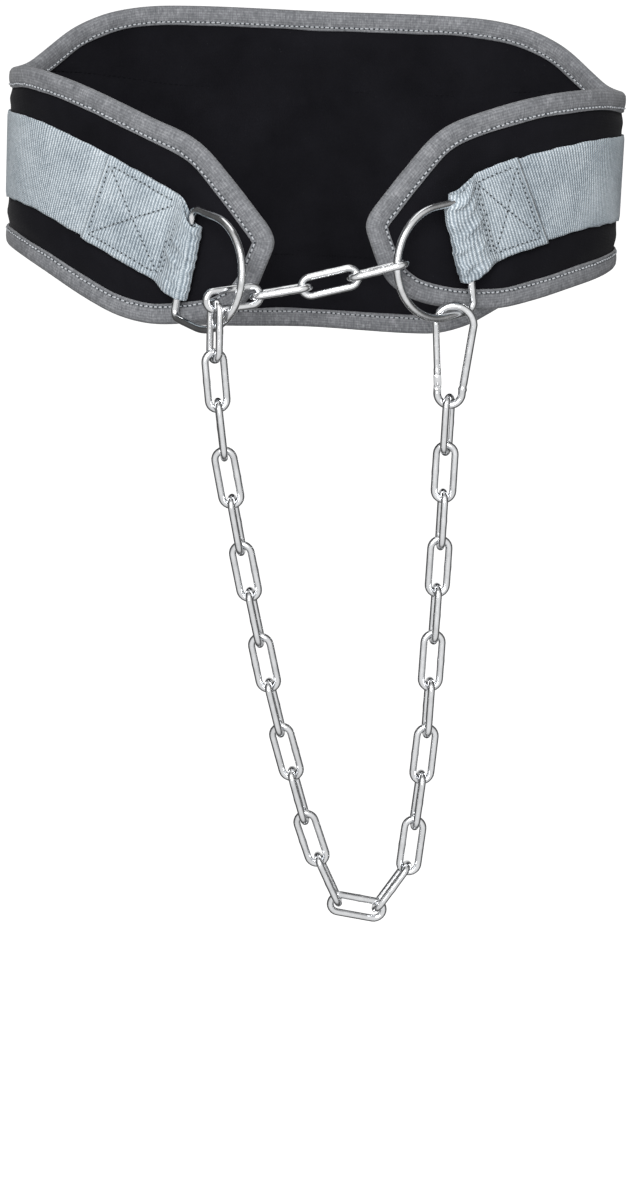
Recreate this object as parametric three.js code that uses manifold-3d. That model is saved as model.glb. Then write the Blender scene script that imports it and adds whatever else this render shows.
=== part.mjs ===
import * as THREE from "three";
import Module from "manifold-3d";

const wasm = await Module();
wasm.setup();

const DEG = Math.PI / 180;

// Belt, in millimetres. A share is a part of HALF_LENGTH, counted from the middle of the back.
const HALF_LENGTH = 437;
const PLAN_STEP = 1;
const PLAN_SMOOTHING = 30;
const DEPTH_CENTRE = -114;
const WALL = 5;
const WALL_AT_RIM = 3.4;
const COLUMN_LENGTH = 24;
const COLUMN_TURN = 9.5;

// Heading of the belt seen from above: 0 along the back, 90 at the side, 158 at the front end.
const PLAN = [
  { share: 0.0, heading: 0 },
  { share: 0.201, heading: 12 },
  { share: 0.336, heading: 30 },
  { share: 0.447, heading: 62 },
  { share: 0.526, heading: 95 },
  { share: 0.604, heading: 122 },
  { share: 0.694, heading: 141 },
  { share: 0.805, heading: 151 },
  { share: 0.88, heading: 154.5 },
  { share: 1.03, heading: 162 },
];

// Heights of the two rims above the middle of the side.
const TOP_RIM = [
  { share: 0.0, z: 91 },
  { share: 0.22, z: 91 },
  { share: 0.3, z: 86.5 },
  { share: 0.36, z: 77 },
  { share: 0.42, z: 61.5 },
  { share: 0.46, z: 54.5 },
  { share: 0.54, z: 53.5 },
  { share: 0.64, z: 56.3 },
  { share: 0.75, z: 52.7 },
  { share: 0.86, z: 41 },
  { share: 0.905, z: 31.5 },
  { share: 0.945, z: 13 },
  { share: 0.993, z: -13 },
];
const BOTTOM_RIM = [
  { share: 0.0, z: -111.5 },
  { share: 0.18, z: -112 },
  { share: 0.235, z: -105 },
  { share: 0.27, z: -95.5 },
  { share: 0.33, z: -78 },
  { share: 0.4, z: -61.5 },
  { share: 0.46, z: -54.5 },
  { share: 0.55, z: -53 },
  { share: 0.66, z: -57.8 },
  { share: 0.75, z: -65 },
  { share: 0.8, z: -68.3 },
  { share: 0.86, z: -68 },
  { share: 0.93, z: -61.5 },
  { share: 0.963, z: -52.5 },
];
const TIP_HIGH = { share: 0.999, z: -20.5 };
const TIP_LOW = { share: 0.979, z: -42 };

// The left flap hangs a little lower and reaches a little further than the right one.
const LEFT_DROOP = 11;
const LEFT_DROOP_FROM = 0.58;
const LEFT_DROOP_TO = 0.87;
const LEFT_BOTTOM_FACTOR = 1.4;
const LEFT_REACH = 9;
const LEFT_REACH_FROM = 0.85;

// Clearances between pieces that touch in use.
const GAP = 0.3;

// Edge binding: a folded tape with a leg on each face.
const BINDING_TAPE = 1.1;
const BINDING_LEG = 12;
const BINDING_FACET_GAP = 0.55;
const BINDING_EDGE_ROUND = 1.8;
const BODY_INSET = BINDING_TAPE + 0.4 + GAP;
const PINCH_DEPTH = BINDING_LEG + 0.6;
const PUFF_DEPTH = BINDING_LEG + 4.5;

// Webbing strap.
const STRAP_THICK = 1.6;
const STRAP_WIDTH = 51;
const STRAP_FOLD_SHARE = 0.762;
const STRAP_LAYER_GAP = 0.4;
const STRAP_BACK_STEP = 14;
const STRAP_NARROW = 12;
const STRAP_TILT = 16;
const STRAP_CENTRE = [
  { share: 0.0, z: -10 },
  { share: 0.3, z: -7 },
  { share: 0.45, z: 0 },
  { share: 0.575, z: 2.3 },
  { share: 0.66, z: 1.3 },
  { share: 0.725, z: -2.9 },
  { share: 0.77, z: -7 },
  { share: 0.81, z: -11.9 },
  { share: 0.847, z: -17.5 },
  { share: 0.886, z: -25 },
  { share: 0.96, z: -40 },
];
const LOOP_STEPS = 8;

// D-rings: a straight bar, two small corners and a half circle.
const RING_WIRE = 2.25;
const RING_HALF_HEIGHT = 31.5;
const RING_DEPTH = 52;
const RING_CORNER = 5;
const RING_SIDES = 8;
const RING_ARC_STEPS = 16;
const RING_STAND = 1.5;
const RINGS = {
  left: {
    side: -1, share: 0.896, z: -45.7, lean: 9.5, swing: 25,
    strapRise: 1, strapTilt: 12, loopWidth: 43, loopSlack: 2.6, loopSkew: 0,
  },
  right: {
    side: 1, share: 0.8605, z: -36, lean: 9, swing: 11,
    strapRise: 4.4, strapTilt: 13, loopWidth: 37, loopSlack: 3.4, loopSkew: 4,
  },
};

// Chain.
const LINK_WIRE = 2.05;
const LINK_PITCH = 27.4;
const LINK_SLACK = 0.35;
const LINK_WIDTH = 14.7;
const LINK_END_STEPS = 5;
const LINK_SIDES = 6;

// Snap hook.
const HOOK_WIRE = 2.25;
const HOOK_SIDES = 8;

// Small helpers.

const lerp = (a, b, t) => a + (b - a) * t;
const clamp01 = (t) => Math.min(1, Math.max(0, t));
const smooth = (t) => clamp01(t) ** 2 * (3 - 2 * clamp01(t));

// Value of a table at a share, on a smooth curve through its rows.
function along(table, share, key = "z") {
  const last = table.length - 1;
  let i = table.findIndex((row) => row.share >= share);
  i = i < 0 ? last - 1 : Math.max(0, i - 1);
  const slope = (k) => {
    const a = table[Math.max(0, k - 1)];
    const b = table[Math.min(last, k + 1)];
    return (b[key] - a[key]) / (b.share - a.share);
  };
  const a = table[i];
  const b = table[i + 1];
  const w = b.share - a.share;
  const t = (share - a.share) / w;
  const h = t * t * (3 - 2 * t);
  const rise = slope(i) * w * (t * (1 - t) ** 2) + slope(i + 1) * w * (t * t * (t - 1));
  return lerp(a[key], b[key], h) + rise;
}

// Turns rows of points, one ring per step, into a closed mesh. Each ring has the same count of points.
function sweptGeometry(rings, { closed = false, caps = true } = {}) {
  const count = rings[0].length;
  const positions = rings.flat().flatMap((p) => [p.x, p.y, p.z]);
  const index = [];
  const steps = closed ? rings.length : rings.length - 1;
  for (let i = 0; i < steps; i++) {
    const next = (i + 1) % rings.length;
    for (let k = 0; k < count; k++) {
      const m = (k + 1) % count;
      const a = i * count + k;
      const b = i * count + m;
      const c = next * count + m;
      const d = next * count + k;
      index.push(a, b, c, a, c, d);
    }
  }
  if (!closed && caps) {
    const end = (rings.length - 1) * count;
    for (let k = 1; k < count - 1; k++) {
      index.push(0, k + 1, k);
      index.push(end, end + k, end + k + 1);
    }
  }
  return facingOut(positions, index);
}

// Geometry whose faces point outwards, whichever way its rings ran.
function facingOut(positions, index) {
  let volume = 0;
  const v = (i) => new THREE.Vector3(positions[3 * i], positions[3 * i + 1], positions[3 * i + 2]);
  for (let i = 0; i < index.length; i += 3) {
    volume += v(index[i]).dot(v(index[i + 1]).cross(v(index[i + 2])));
  }
  if (volume < 0) {
    for (let i = 0; i < index.length; i += 3) {
      [index[i + 1], index[i + 2]] = [index[i + 2], index[i + 1]];
    }
  }
  const geometry = new THREE.BufferGeometry();
  geometry.setAttribute("position", new THREE.Float32BufferAttribute(positions, 3));
  geometry.setIndex(index);
  geometry.computeVertexNormals();
  return geometry;
}

// A round wire along points that lie in the plane with the given normal.
function wire(points, normal, radius, sides, closed = false) {
  const rings = points.map((p, i) => {
    const n = points.length;
    const before = closed ? points[(i - 1 + n) % n] : points[Math.max(0, i - 1)];
    const after = closed ? points[(i + 1) % n] : points[Math.min(n - 1, i + 1)];
    const inDir = p.clone().sub(before).normalize();
    const outDir = after.clone().sub(p).normalize();
    const along3 = inDir.clone().add(outDir).normalize();
    const side = along3.clone().cross(normal).normalize();
    const halfTurn = inDir.lengthSq() && outDir.lengthSq() ? inDir.angleTo(outDir) / 2 : 0;
    const stretch = 1 / Math.cos(halfTurn);
    return Array.from({ length: sides }, (_, k) => {
      const a = (2 * Math.PI * (k + 0.5)) / sides;
      return p
        .clone()
        .addScaledVector(side, radius * Math.cos(a) * stretch)
        .addScaledVector(normal, radius * Math.sin(a));
    });
  });
  return sweptGeometry(rings, { closed });
}

function toManifold(geometry) {
  const positions = geometry.getAttribute("position").array;
  return new wasm.Manifold(
    new wasm.Mesh({
      numProp: 3,
      vertProperties: new Float32Array(positions),
      triVerts: new Uint32Array(geometry.index.array),
    }),
  );
}

function fromManifold(solid) {
  const mesh = solid.getMesh();
  const positions = [];
  for (let i = 0; i < mesh.numVert; i++) {
    positions.push(...mesh.vertProperties.subarray(i * mesh.numProp, i * mesh.numProp + 3));
  }
  return facingOut(positions, [...mesh.triVerts]);
}

// Belt surface: plan curve, outline and the padded wall with its tape.

// Plan curve of the right half, walked in small steps from the middle of the back.
const plan = [{ x: 0, y: 0, heading: 0 }];
const headingAt = (s) => {
  const samples = 7;
  const end = PLAN[PLAN.length - 1].share;
  let sum = 0;
  for (let k = 0; k < samples; k++) {
    const at = s + PLAN_SMOOTHING * ((2 * k) / (samples - 1) - 1);
    const share = Math.min(end, Math.abs(at) / HALF_LENGTH);
    const i = Math.max(1, PLAN.findIndex((row) => row.share >= share));
    const low = PLAN[i - 1];
    const high = PLAN[i];
    const t = (share - low.share) / (high.share - low.share);
    sum += Math.sign(at) * lerp(low.heading, high.heading, t);
  }
  return (sum / samples) * DEG;
};
for (let s = PLAN_STEP; s <= HALF_LENGTH * 1.04; s += PLAN_STEP) {
  const last = plan[plan.length - 1];
  const mid = headingAt(s - PLAN_STEP / 2);
  plan.push({
    x: last.x + Math.cos(mid) * PLAN_STEP,
    y: last.y - Math.sin(mid) * PLAN_STEP,
    heading: headingAt(s),
  });
}

// Point of the belt at length s from the back's middle (left is negative), height z and
// distance n out from the middle of the wall.
function place(s, z, n) {
  const side = s < 0 ? -1 : 1;
  const at = Math.min(plan.length - 1.001, Math.abs(s) / PLAN_STEP);
  const i = Math.floor(at);
  const t = at - i;
  const heading = lerp(plan[i].heading, plan[i + 1].heading, t);
  return new THREE.Vector3(
    side * (lerp(plan[i].x, plan[i + 1].x, t) + Math.sin(heading) * n),
    lerp(plan[i].y, plan[i + 1].y, t) + Math.cos(heading) * n - DEPTH_CENTRE,
    z,
  );
}

const leftDroop = (share) =>
  LEFT_DROOP * smooth((share - LEFT_DROOP_FROM) / (LEFT_DROOP_TO - LEFT_DROOP_FROM));
const leftReach = (share) =>
  LEFT_REACH * Math.max(0, (share - LEFT_REACH_FROM) / (1 - LEFT_REACH_FROM));

// Flat position (length, height) on one side of the belt, with the left flap's droop and reach.
function flat(side, share, z, droopFactor = 1) {
  const left = side < 0;
  return {
    s: side * (share * HALF_LENGTH + (left ? leftReach(share) : 0)),
    z: z - (left ? leftDroop(share) * droopFactor : 0),
  };
}

// Shares of the columns that all the cloth pieces are faceted at: closer where the belt turns.
const TOP_END = TOP_RIM[TOP_RIM.length - 1].share;
const BOTTOM_END = BOTTOM_RIM[BOTTOM_RIM.length - 1].share;
const columnShares = (() => {
  const cost = [0];
  const end = TOP_END * HALF_LENGTH;
  for (let i = 1; i * PLAN_STEP <= end; i++) {
    const turn = (plan[i].heading - plan[i - 1].heading) / DEG;
    cost.push(cost[i - 1] + PLAN_STEP / COLUMN_LENGTH + turn / COLUMN_TURN);
  }
  const count = Math.ceil(cost[cost.length - 1]);
  const shares = [];
  for (let k = 0; k < count; k++) {
    const want = (k / count) * cost[cost.length - 1];
    shares.push((cost.findIndex((c) => c >= want) * PLAN_STEP) / HALF_LENGTH);
  }
  return [...shares, TOP_END];
})();

// The belt's outline in the flat, as matching points of the upper and lower rim.
function rimColumns(side) {
  const columns = [];
  for (const high of columnShares) {
    const low = high - (TOP_END - BOTTOM_END) * smooth((high - 0.8) / (TOP_END - 0.8));
    columns.push({
      top: flat(side, high, along(TOP_RIM, high)),
      bottom: flat(side, low, along(BOTTOM_RIM, low), LEFT_BOTTOM_FACTOR),
    });
  }
  columns.push({
    top: flat(side, TIP_HIGH.share, TIP_HIGH.z),
    bottom: flat(side, TIP_LOW.share, TIP_LOW.z, LEFT_BOTTOM_FACTOR),
  });
  return columns;
}

const rightColumns = rimColumns(1);
const leftColumns = rimColumns(-1);
const columns = [...leftColumns.slice(1).reverse(), ...rightColumns];
const outline = [
  ...columns.map((c) => c.top),
  ...columns.map((c) => c.bottom).reverse(),
];

// Direction into the belt at each outline point, long enough to keep the tape's width at corners.
const inward = outline.map((p, i) => {
  const n = outline.length;
  const unit = (a, b) => {
    const length = Math.hypot(b.s - a.s, b.z - a.z);
    return { s: (b.s - a.s) / length, z: (b.z - a.z) / length };
  };
  const before = unit(outline[(i - 1 + n) % n], p);
  const after = unit(p, outline[(i + 1) % n]);
  const bisector = { s: before.z + after.z, z: -(before.s + after.s) };
  const length = Math.hypot(bisector.s, bisector.z);
  const widen = 2 / length;
  return { s: (bisector.s / length) * widen, z: (bisector.z / length) * widen };
});
const rimPoint = (i, depth, n) =>
  place(outline[i].s + inward[i].s * depth, outline[i].z + inward[i].z * depth, n);

// Padded wall: one grid on each face, joined round the rim and pinched thin under the tape.
function beltBody() {
  const count = columns.length;
  const rows = 5;
  const positions = [];
  const index = [];
  const grid = columns.map((_, i) => {
    const j = outline.length - 1 - i;
    const inset = (k) => ({
      s: outline[k].s + inward[k].s * BODY_INSET,
      z: outline[k].z + inward[k].z * BODY_INSET,
    });
    const high = inset(i);
    const low = inset(j);
    const length = Math.hypot(high.s - low.s, high.z - low.z);
    const up = { s: (high.s - low.s) / length, z: (high.z - low.z) / length };
    // Distance along the column that lies a given depth inside the rim.
    const share = (k, sign, depth, most) => {
      const size = Math.hypot(inward[k].s, inward[k].z);
      const cosine = (sign * (inward[k].s * up.s + inward[k].z * up.z)) / size;
      return Math.min(most, (depth - BODY_INSET) / Math.max(0.3, cosine) / length);
    };
    const nearEnd = i < 2 || i > count - 3;
    const thin = WALL_AT_RIM / 2;
    const full = nearEnd ? thin : WALL / 2;
    return [
      { t: 0, n: thin },
      { t: share(j, 1, PINCH_DEPTH, 0.32), n: thin },
      { t: share(j, 1, PUFF_DEPTH, 0.42), n: full },
      { t: 1 - share(i, -1, PUFF_DEPTH, 0.42), n: full },
      { t: 1 - share(i, -1, PINCH_DEPTH, 0.32), n: thin },
      { t: 1, n: thin },
    ].map((row) => ({ s: lerp(low.s, high.s, row.t), z: lerp(low.z, high.z, row.t), n: row.n }));
  });
  for (const face of [1, -1]) {
    for (const column of grid) {
      for (const row of column) {
        const p = place(row.s, row.z, face * row.n);
        positions.push(p.x, p.y, p.z);
      }
    }
  }
  const at = (face, i, r) => (face * count + i) * (rows + 1) + r;
  for (let i = 0; i < count - 1; i++) {
    for (let r = 0; r < rows; r++) {
      index.push(at(0, i, r), at(0, i + 1, r), at(0, i + 1, r + 1));
      index.push(at(0, i, r), at(0, i + 1, r + 1), at(0, i, r + 1));
      index.push(at(1, i, r), at(1, i + 1, r + 1), at(1, i + 1, r));
      index.push(at(1, i, r), at(1, i, r + 1), at(1, i + 1, r + 1));
    }
    for (const r of [0, rows]) {
      const a = at(0, i, r);
      const b = at(0, i + 1, r);
      const c = at(1, i + 1, r);
      const d = at(1, i, r);
      index.push(...(r ? [a, b, c, a, c, d] : [a, c, b, a, d, c]));
    }
  }
  for (const i of [0, count - 1]) {
    for (let r = 0; r < rows; r++) {
      const a = at(0, i, r);
      const b = at(0, i, r + 1);
      const c = at(1, i, r + 1);
      const d = at(1, i, r);
      index.push(...(i ? [a, d, c, a, c, b] : [a, c, d, a, b, c]));
    }
  }
  return facingOut(positions, index);
}

// Folded tape with a leg on each face, swept round the whole outline.
function edgeBinding() {
  const inner = WALL_AT_RIM / 2 + BINDING_FACET_GAP;
  const outer = inner + BINDING_TAPE;
  const bend = BINDING_TAPE + 0.4;
  const section = [
    { depth: BINDING_LEG, n: outer },
    { depth: BINDING_EDGE_ROUND, n: outer },
    { depth: 0, n: outer - BINDING_EDGE_ROUND },
    { depth: 0, n: -(outer - BINDING_EDGE_ROUND) },
    { depth: BINDING_EDGE_ROUND, n: -outer },
    { depth: BINDING_LEG, n: -outer },
    { depth: BINDING_LEG, n: -inner },
    { depth: bend, n: -inner },
    { depth: bend, n: inner },
    { depth: BINDING_LEG, n: inner },
  ];
  const rings = outline.map((_, i) => section.map((p) => rimPoint(i, p.depth, p.n)));
  return sweptGeometry(rings, { closed: true });
}

// Webbing strap and rings.

const strapBase = WALL / 2 + GAP + STRAP_THICK / 2;
const loopRadius = RING_WIRE + GAP + 0.05 + STRAP_THICK / 2;
const ringLift = strapBase + loopRadius + RING_STAND;

const strapFlat = (side, share) => flat(side, share, along(STRAP_CENTRE, share));

// Local frame of a ring: origin on its bar's middle, "out" from the bar to the arc, "up" along the bar.
function ringFrame(ring) {
  const { s, z } = flat(ring.side, ring.share, ring.z + (ring.side < 0 ? LEFT_DROOP : 0));
  const origin = place(s, z, ringLift);
  const ahead = place(s + ring.side, z, ringLift).sub(place(s - ring.side, z, ringLift)).normalize();
  const away = place(s, z, ringLift + 1).sub(origin).normalize();
  const up = new THREE.Vector3(0, 0, 1);
  const lean = ring.lean * DEG;
  const bar = ahead.clone().multiplyScalar(Math.sin(lean)).addScaledVector(up, Math.cos(lean));
  const out = ahead.clone().multiplyScalar(Math.cos(lean)).addScaledVector(up, -Math.sin(lean));
  const swing = ring.swing * DEG;
  const swung = out.clone().multiplyScalar(Math.cos(swing)).addScaledVector(away, Math.sin(swing));
  return { origin, bar, out: swung, normal: swung.clone().cross(bar).normalize(), flatOut: out, away };
}

// Centre line of a ring's wire, in its own plane: first along the arc, then down the bar.
function ringPath() {
  const points = [];
  const r = RING_HALF_HEIGHT;
  const arcCentre = RING_DEPTH - r;
  for (let i = 0; i <= RING_ARC_STEPS; i++) {
    const a = lerp(90, -90, i / RING_ARC_STEPS) * DEG;
    points.push({ out: arcCentre + r * Math.cos(a), up: r * Math.sin(a) });
  }
  for (const sign of [-1, 1]) {
    for (let i = 0; i <= 3; i++) {
      const a = (sign < 0 ? lerp(0, 90, i / 3) : lerp(90, 0, i / 3)) * DEG;
      points.push({
        out: RING_CORNER * (1 - Math.sin(a)),
        up: sign * (r - RING_CORNER + RING_CORNER * Math.cos(a)),
      });
    }
  }
  return points;
}

function ringPoints(ring) {
  const frame = ringFrame(ring);
  return ringPath().map(({ out, up }) =>
    frame.origin.clone().addScaledVector(frame.out, out).addScaledVector(frame.bar, up),
  );
}

const dRing = (ring) => wire(ringPoints(ring), ringFrame(ring).normal, RING_WIRE, RING_SIDES, true);

// Webbing strap: it lies on the outer face, turns round each ring's bar and comes back on itself.
function strapStations(ring) {
  const { side } = ring;
  const barFlat = flat(side, ring.share, ring.z + (side < 0 ? LEFT_DROOP : 0));
  const stations = [];
  const end = Math.abs(barFlat.s);
  const foldEnd = Math.abs(flat(side, STRAP_FOLD_SHARE, 0).s);
  const lean = ring.lean * DEG;
  const tiltAtBar = ring.strapTilt * DEG;
  // Share whose flat length is s.
  const shareOf = (s) => {
    let share = s / HALF_LENGTH;
    for (let k = 0; k < 8; k++) {
      share += (s - Math.abs(flat(side, share, 0).s)) / HALF_LENGTH;
    }
    return share;
  };
  // The strap gathers to the loop's width over its last stretch before the bar.
  const barS = end + ring.strapRise * Math.sin(lean);
  const barZ = barFlat.z + ring.strapRise * Math.cos(lean);
  const narrowFrom = barS - STRAP_NARROW;
  const usualAt = (s) => strapFlat(side, shareOf(s)).z;
  const station = (s, n) => {
    const near = smooth((s - narrowFrom) / (STRAP_NARROW + ring.loopSlack));
    const usual = usualAt(s);
    const slope = Math.atan((usual - usualAt(s + 2)) / 2);
    const z = lerp(usual, barZ - (s - end) * Math.tan(tiltAtBar), near);
    const tilt = lerp(Math.min(slope, STRAP_TILT * DEG), tiltAtBar, near);
    const width = lerp(STRAP_WIDTH, ring.loopWidth, near);
    return { s, z, n, tilt, width, skew: ring.loopSkew * near };
  };
  const firstLayer = (s) => strapBase + RING_STAND * smooth((s - barS + 30) / 22);
  for (const share of columnShares) {
    const s = Math.abs(flat(side, share, 0).s);
    if (s > narrowFrom - 3) break;
    stations.push({ ...station(s, firstLayer(s)), angle: -90 });
  }
  for (const t of [0, 0.35, 0.6, 0.8]) {
    const s = lerp(narrowFrom, barS + ring.loopSlack, t);
    stations.push({ ...station(s, firstLayer(s)), angle: -90 });
  }
  for (let i = 0; i <= LOOP_STEPS; i++) {
    const angle = -90 + (180 * i) / LOOP_STEPS;
    const s = barS + ring.loopSlack + loopRadius * Math.cos(angle * DEG);
    stations.push({ ...station(s, ringLift + loopRadius * Math.sin(angle * DEG)), angle });
  }
  const second = strapBase + STRAP_THICK + STRAP_LAYER_GAP;
  const settleFrom = 4;
  const settle = 22;
  for (const t of [settleFrom / settle, 0.5, 0.75, 1]) {
    const s = barS - settle * t;
    const drop = smooth((t * settle - settleFrom) / (settle - settleFrom));
    const n = lerp(ringLift + loopRadius, second, drop);
    const angle = 90 + (t < 1 ? 18 : 4);
    stations.push({ ...station(s, n), angle });
  }
  const left = barS - settle - foldEnd;
  const backSteps = Math.max(1, Math.round(left / STRAP_BACK_STEP));
  for (let i = 1; i <= backSteps; i++) {
    const s = barS - settle - (left * i) / backSteps;
    stations.push({ ...station(s, second), angle: 90 });
  }
  return stations.map((p) => ({ ...p, side }));
}

function webbingStrap() {
  const right = strapStations(RINGS.right);
  const left = strapStations(RINGS.left).slice(1).reverse();
  const half = STRAP_THICK / 2;
  const rings = [...left, ...right].map((p) => {
    // Thickness direction in the plane of length and offset: straight out at -90 and back at 90.
    const ds = Math.cos(p.angle * DEG) * half;
    const dn = Math.sin(p.angle * DEG) * half;
    const corner = (across, layer) => {
      const b = (across * p.width) / 2;
      const s = p.s + b * Math.sin(p.tilt) + ds * layer + (p.skew * (across + 1)) / 2;
      return place(p.side * s, p.z + b * Math.cos(p.tilt), p.n + dn * layer);
    };
    return [corner(-1, 1), corner(0, 1), corner(1, 1), corner(1, -1), corner(0, -1), corner(-1, -1)];
  });
  return sweptGeometry(rings);
}

// Snap hook.

// The hook hangs on the bottom of the right ring, in a plane that faces the front.
const rightFrame = ringFrame(RINGS.right);
const arcPoints = ringPoints(RINGS.right).slice(0, RING_ARC_STEPS + 1);
const HOOK_PLACE = { out: 14.5, up: -RING_HALF_HEIGHT };
const HOOK = {
  topRadius: 11.2,
  bottomRadius: 7,
  length: 56.5,
  lean: -0.5,
  noseAngle: 158,
  hingeRise: 12,
  tang: 2,
  pin: 0.9,
  pinClear: 0.2,
  forkGap: 0.35,
  gateWire: 2.1,
  gateGap: 1.25,
};
const hookTop = rightFrame.origin
  .clone()
  .addScaledVector(rightFrame.out, HOOK_PLACE.out)
  .addScaledVector(rightFrame.bar, HOOK_PLACE.up)
  .add(new THREE.Vector3(0, 0, RING_WIRE + HOOK_WIRE + GAP + 0.3));
const hookAt = (x, z) => hookTop.clone().add(new THREE.Vector3(x, 0, z));
const topCentre = { x: 0, z: -HOOK.topRadius };
const bottomCentre = { x: HOOK.lean, z: HOOK.bottomRadius - HOOK.length };
const onArc = (centre, radius, angle) => ({
  x: centre.x + radius * Math.cos(angle * DEG),
  z: centre.z + radius * Math.sin(angle * DEG),
});
const hinge = { x: bottomCentre.x - HOOK.bottomRadius, z: bottomCentre.z + HOOK.hingeRise - 7 };
const nose = onArc(topCentre, HOOK.topRadius, HOOK.noseAngle);

function hookPath() {
  const path = [];
  for (let i = 0; i <= 9; i++) {
    path.push(onArc(topCentre, HOOK.topRadius, lerp(HOOK.noseAngle, 4, i / 9)));
  }
  for (let i = 0; i <= 8; i++) {
    path.push(onArc(bottomCentre, HOOK.bottomRadius, lerp(4, -176, i / 8)));
  }
  path.push({ x: hinge.x, z: hinge.z - 3.4 });
  return path.map((p) => hookAt(p.x, p.z));
}

const alongY = (radius, half, sides) =>
  wasm.Manifold.cylinder(2 * half, radius, radius, sides, true).rotate([90, 0, 0]);

function snapHook() {
  const facing = new THREE.Vector3(0, 1, 0);
  const at = hookAt(hinge.x, hinge.z);
  const here = (solid) => solid.translate([at.x, at.y, at.z]);
  const pinHole = here(alongY(HOOK.pin + HOOK.pinClear, 6, 12));
  const tangRadius = HOOK.gateWire;
  const tang = here(
    wasm.Manifold.union([
      alongY(tangRadius, HOOK.tang / 2, 12),
      wasm.Manifold.cube([2 * tangRadius, HOOK.tang, 5], true).translate([0, 0, -2.5]),
    ]),
  );
  const bend = toManifold(wire(hookPath(), facing, HOOK_WIRE, HOOK_SIDES));
  const body = wasm.Manifold.union([bend, tang]).subtract(pinHole);

  // Gate: a rod from the hinge to the nose, forked round the tang.
  const low = new THREE.Vector3(hinge.x, 0, hinge.z);
  const high = new THREE.Vector3(nose.x, 0, nose.z);
  const up = high.clone().sub(low);
  const reach = up.length() - HOOK.gateGap;
  up.normalize();
  const tip = low.clone().addScaledVector(up, reach);
  const foot = low.clone().addScaledVector(up, -0.2);
  const rodPoints = [foot, low.clone().addScaledVector(up, 8), tip].map((p) => hookAt(p.x, p.z));
  const rod = toManifold(wire(rodPoints, facing, HOOK.gateWire, 10));
  const eye = here(alongY(HOOK.gateWire, HOOK.gateWire * 0.97, 12));
  const slot = here(
    wasm.Manifold.cube([12, HOOK.tang + 2 * HOOK.forkGap, 9.2], true).translate([0, 0, -0.4]),
  );
  const gate = wasm.Manifold.union([rod, eye]).subtract(slot).subtract(pinHole);
  const pin = here(alongY(HOOK.pin, HOOK.gateWire * 0.97 + 0.5, 12));
  return { body: fromManifold(body), gate: fromManifold(gate), pin: fromManifold(pin) };
}

// Chain.

// A link's end is half a circle. Links alternate between facing the front and standing edge-on.
// A joint bends about the centre of one link's end circle: the facing link's, or the edge-on
// link's at the joints where the chain turns sideways.
const linkHalf = LINK_PITCH / 2 + LINK_WIRE + LINK_SLACK / 2;
const endRadius = LINK_WIDTH / 2 - LINK_WIRE;
const endCentre = linkHalf - endRadius;
const endPlay = endRadius - 2 * LINK_WIRE - LINK_SLACK;
const SIDEWAYS_JOINTS = new Set([1, 3]);
const isEdgeOn = (link) => link % 2 === 0;
const halfSpan = (link, joint) =>
  isEdgeOn(link) === SIDEWAYS_JOINTS.has(joint) ? endCentre : linkHalf + endPlay;
const spanOf = (link) => halfSpan(link, link) + halfSpan(link, link + 1);

// The first link holds the right ring at the arc's far side, and the last one holds the hook.
const grip = arcPoints.reduce((a, b) => (b.x < a.x ? b : a));
const ringReach = RING_WIRE + LINK_WIRE + GAP + 0.2;
const hookReach = HOOK_WIRE + LINK_WIRE + GAP + 0.05;
const chainStart = grip.clone().add(new THREE.Vector3(ringReach + endPlay, 0.5, 0));
const hookBottom = hookAt(bottomCentre.x, bottomCentre.z - HOOK.bottomRadius);
const chainEnd = hookBottom.clone().add(new THREE.Vector3(0, 0, hookReach + endPlay));

// Route of the chain from the right ring through the left one, down, and up to the hook.
// Its lowest stretch goes down until the whole count of links fills the route.
const LINK_COUNT = 29;
const chainRoute = (drop) => [
  chainStart,
  new THREE.Vector3(23, -124.5, -47),
  new THREE.Vector3(0, -124.9, -53.2),
  new THREE.Vector3(-25.8, -125, -58.6),
  new THREE.Vector3(-52, -135.9, -61.7),
  new THREE.Vector3(-51, -138.2, -98),
  new THREE.Vector3(-44.6, -138.5, -145),
  new THREE.Vector3(-30.5, -135, -211),
  new THREE.Vector3(-11.8, -129, -290),
  new THREE.Vector3(8.5, -124, -358),
  new THREE.Vector3(24, -120, -402),
  new THREE.Vector3(34, -117, -412 - drop),
  new THREE.Vector3(59, -113, -412 - drop),
  new THREE.Vector3(70, -110, -390),
  new THREE.Vector3(76.5, -108, -320),
  new THREE.Vector3(79.5, chainEnd.y, -211),
  chainEnd,
];

// Walks the route with each link's span in turn. Returns the vertices and the length left over,
// which is negative where the route is too short.
function walk(route) {
  const vertices = [route[0].clone()];
  let segment = 0;
  for (let link = 0; link < LINK_COUNT; link++) {
    const here = vertices[link];
    const span = spanOf(link);
    let k = segment;
    while (k < route.length - 1 && route[k + 1].distanceTo(here) < span) k++;
    if (k === route.length - 1) {
      let needed = 0;
      for (let rest = link; rest < LINK_COUNT; rest++) needed += spanOf(rest);
      return { vertices, left: here.distanceTo(route[k]) - needed };
    }
    const from = k === segment ? here : route[k];
    let low = 0;
    let high = 1;
    for (let i = 0; i < 40; i++) {
      const mid = (low + high) / 2;
      if (from.clone().lerp(route[k + 1], mid).distanceTo(here) < span) low = mid;
      else high = mid;
    }
    vertices.push(from.clone().lerp(route[k + 1], high));
    segment = k;
  }
  const last = vertices[vertices.length - 1];
  let left = route[segment + 1].distanceTo(last);
  for (let k = segment + 1; k < route.length - 1; k++) left += route[k].distanceTo(route[k + 1]);
  return { vertices, left };
}

function chainVertices() {
  let low = -60;
  let high = 60;
  for (let i = 0; i < 50; i++) {
    const mid = (low + high) / 2;
    if (walk(chainRoute(mid)).left > 0) high = mid;
    else low = mid;
  }
  const { vertices } = walk(chainRoute(high));
  return vertices;
}

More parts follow.
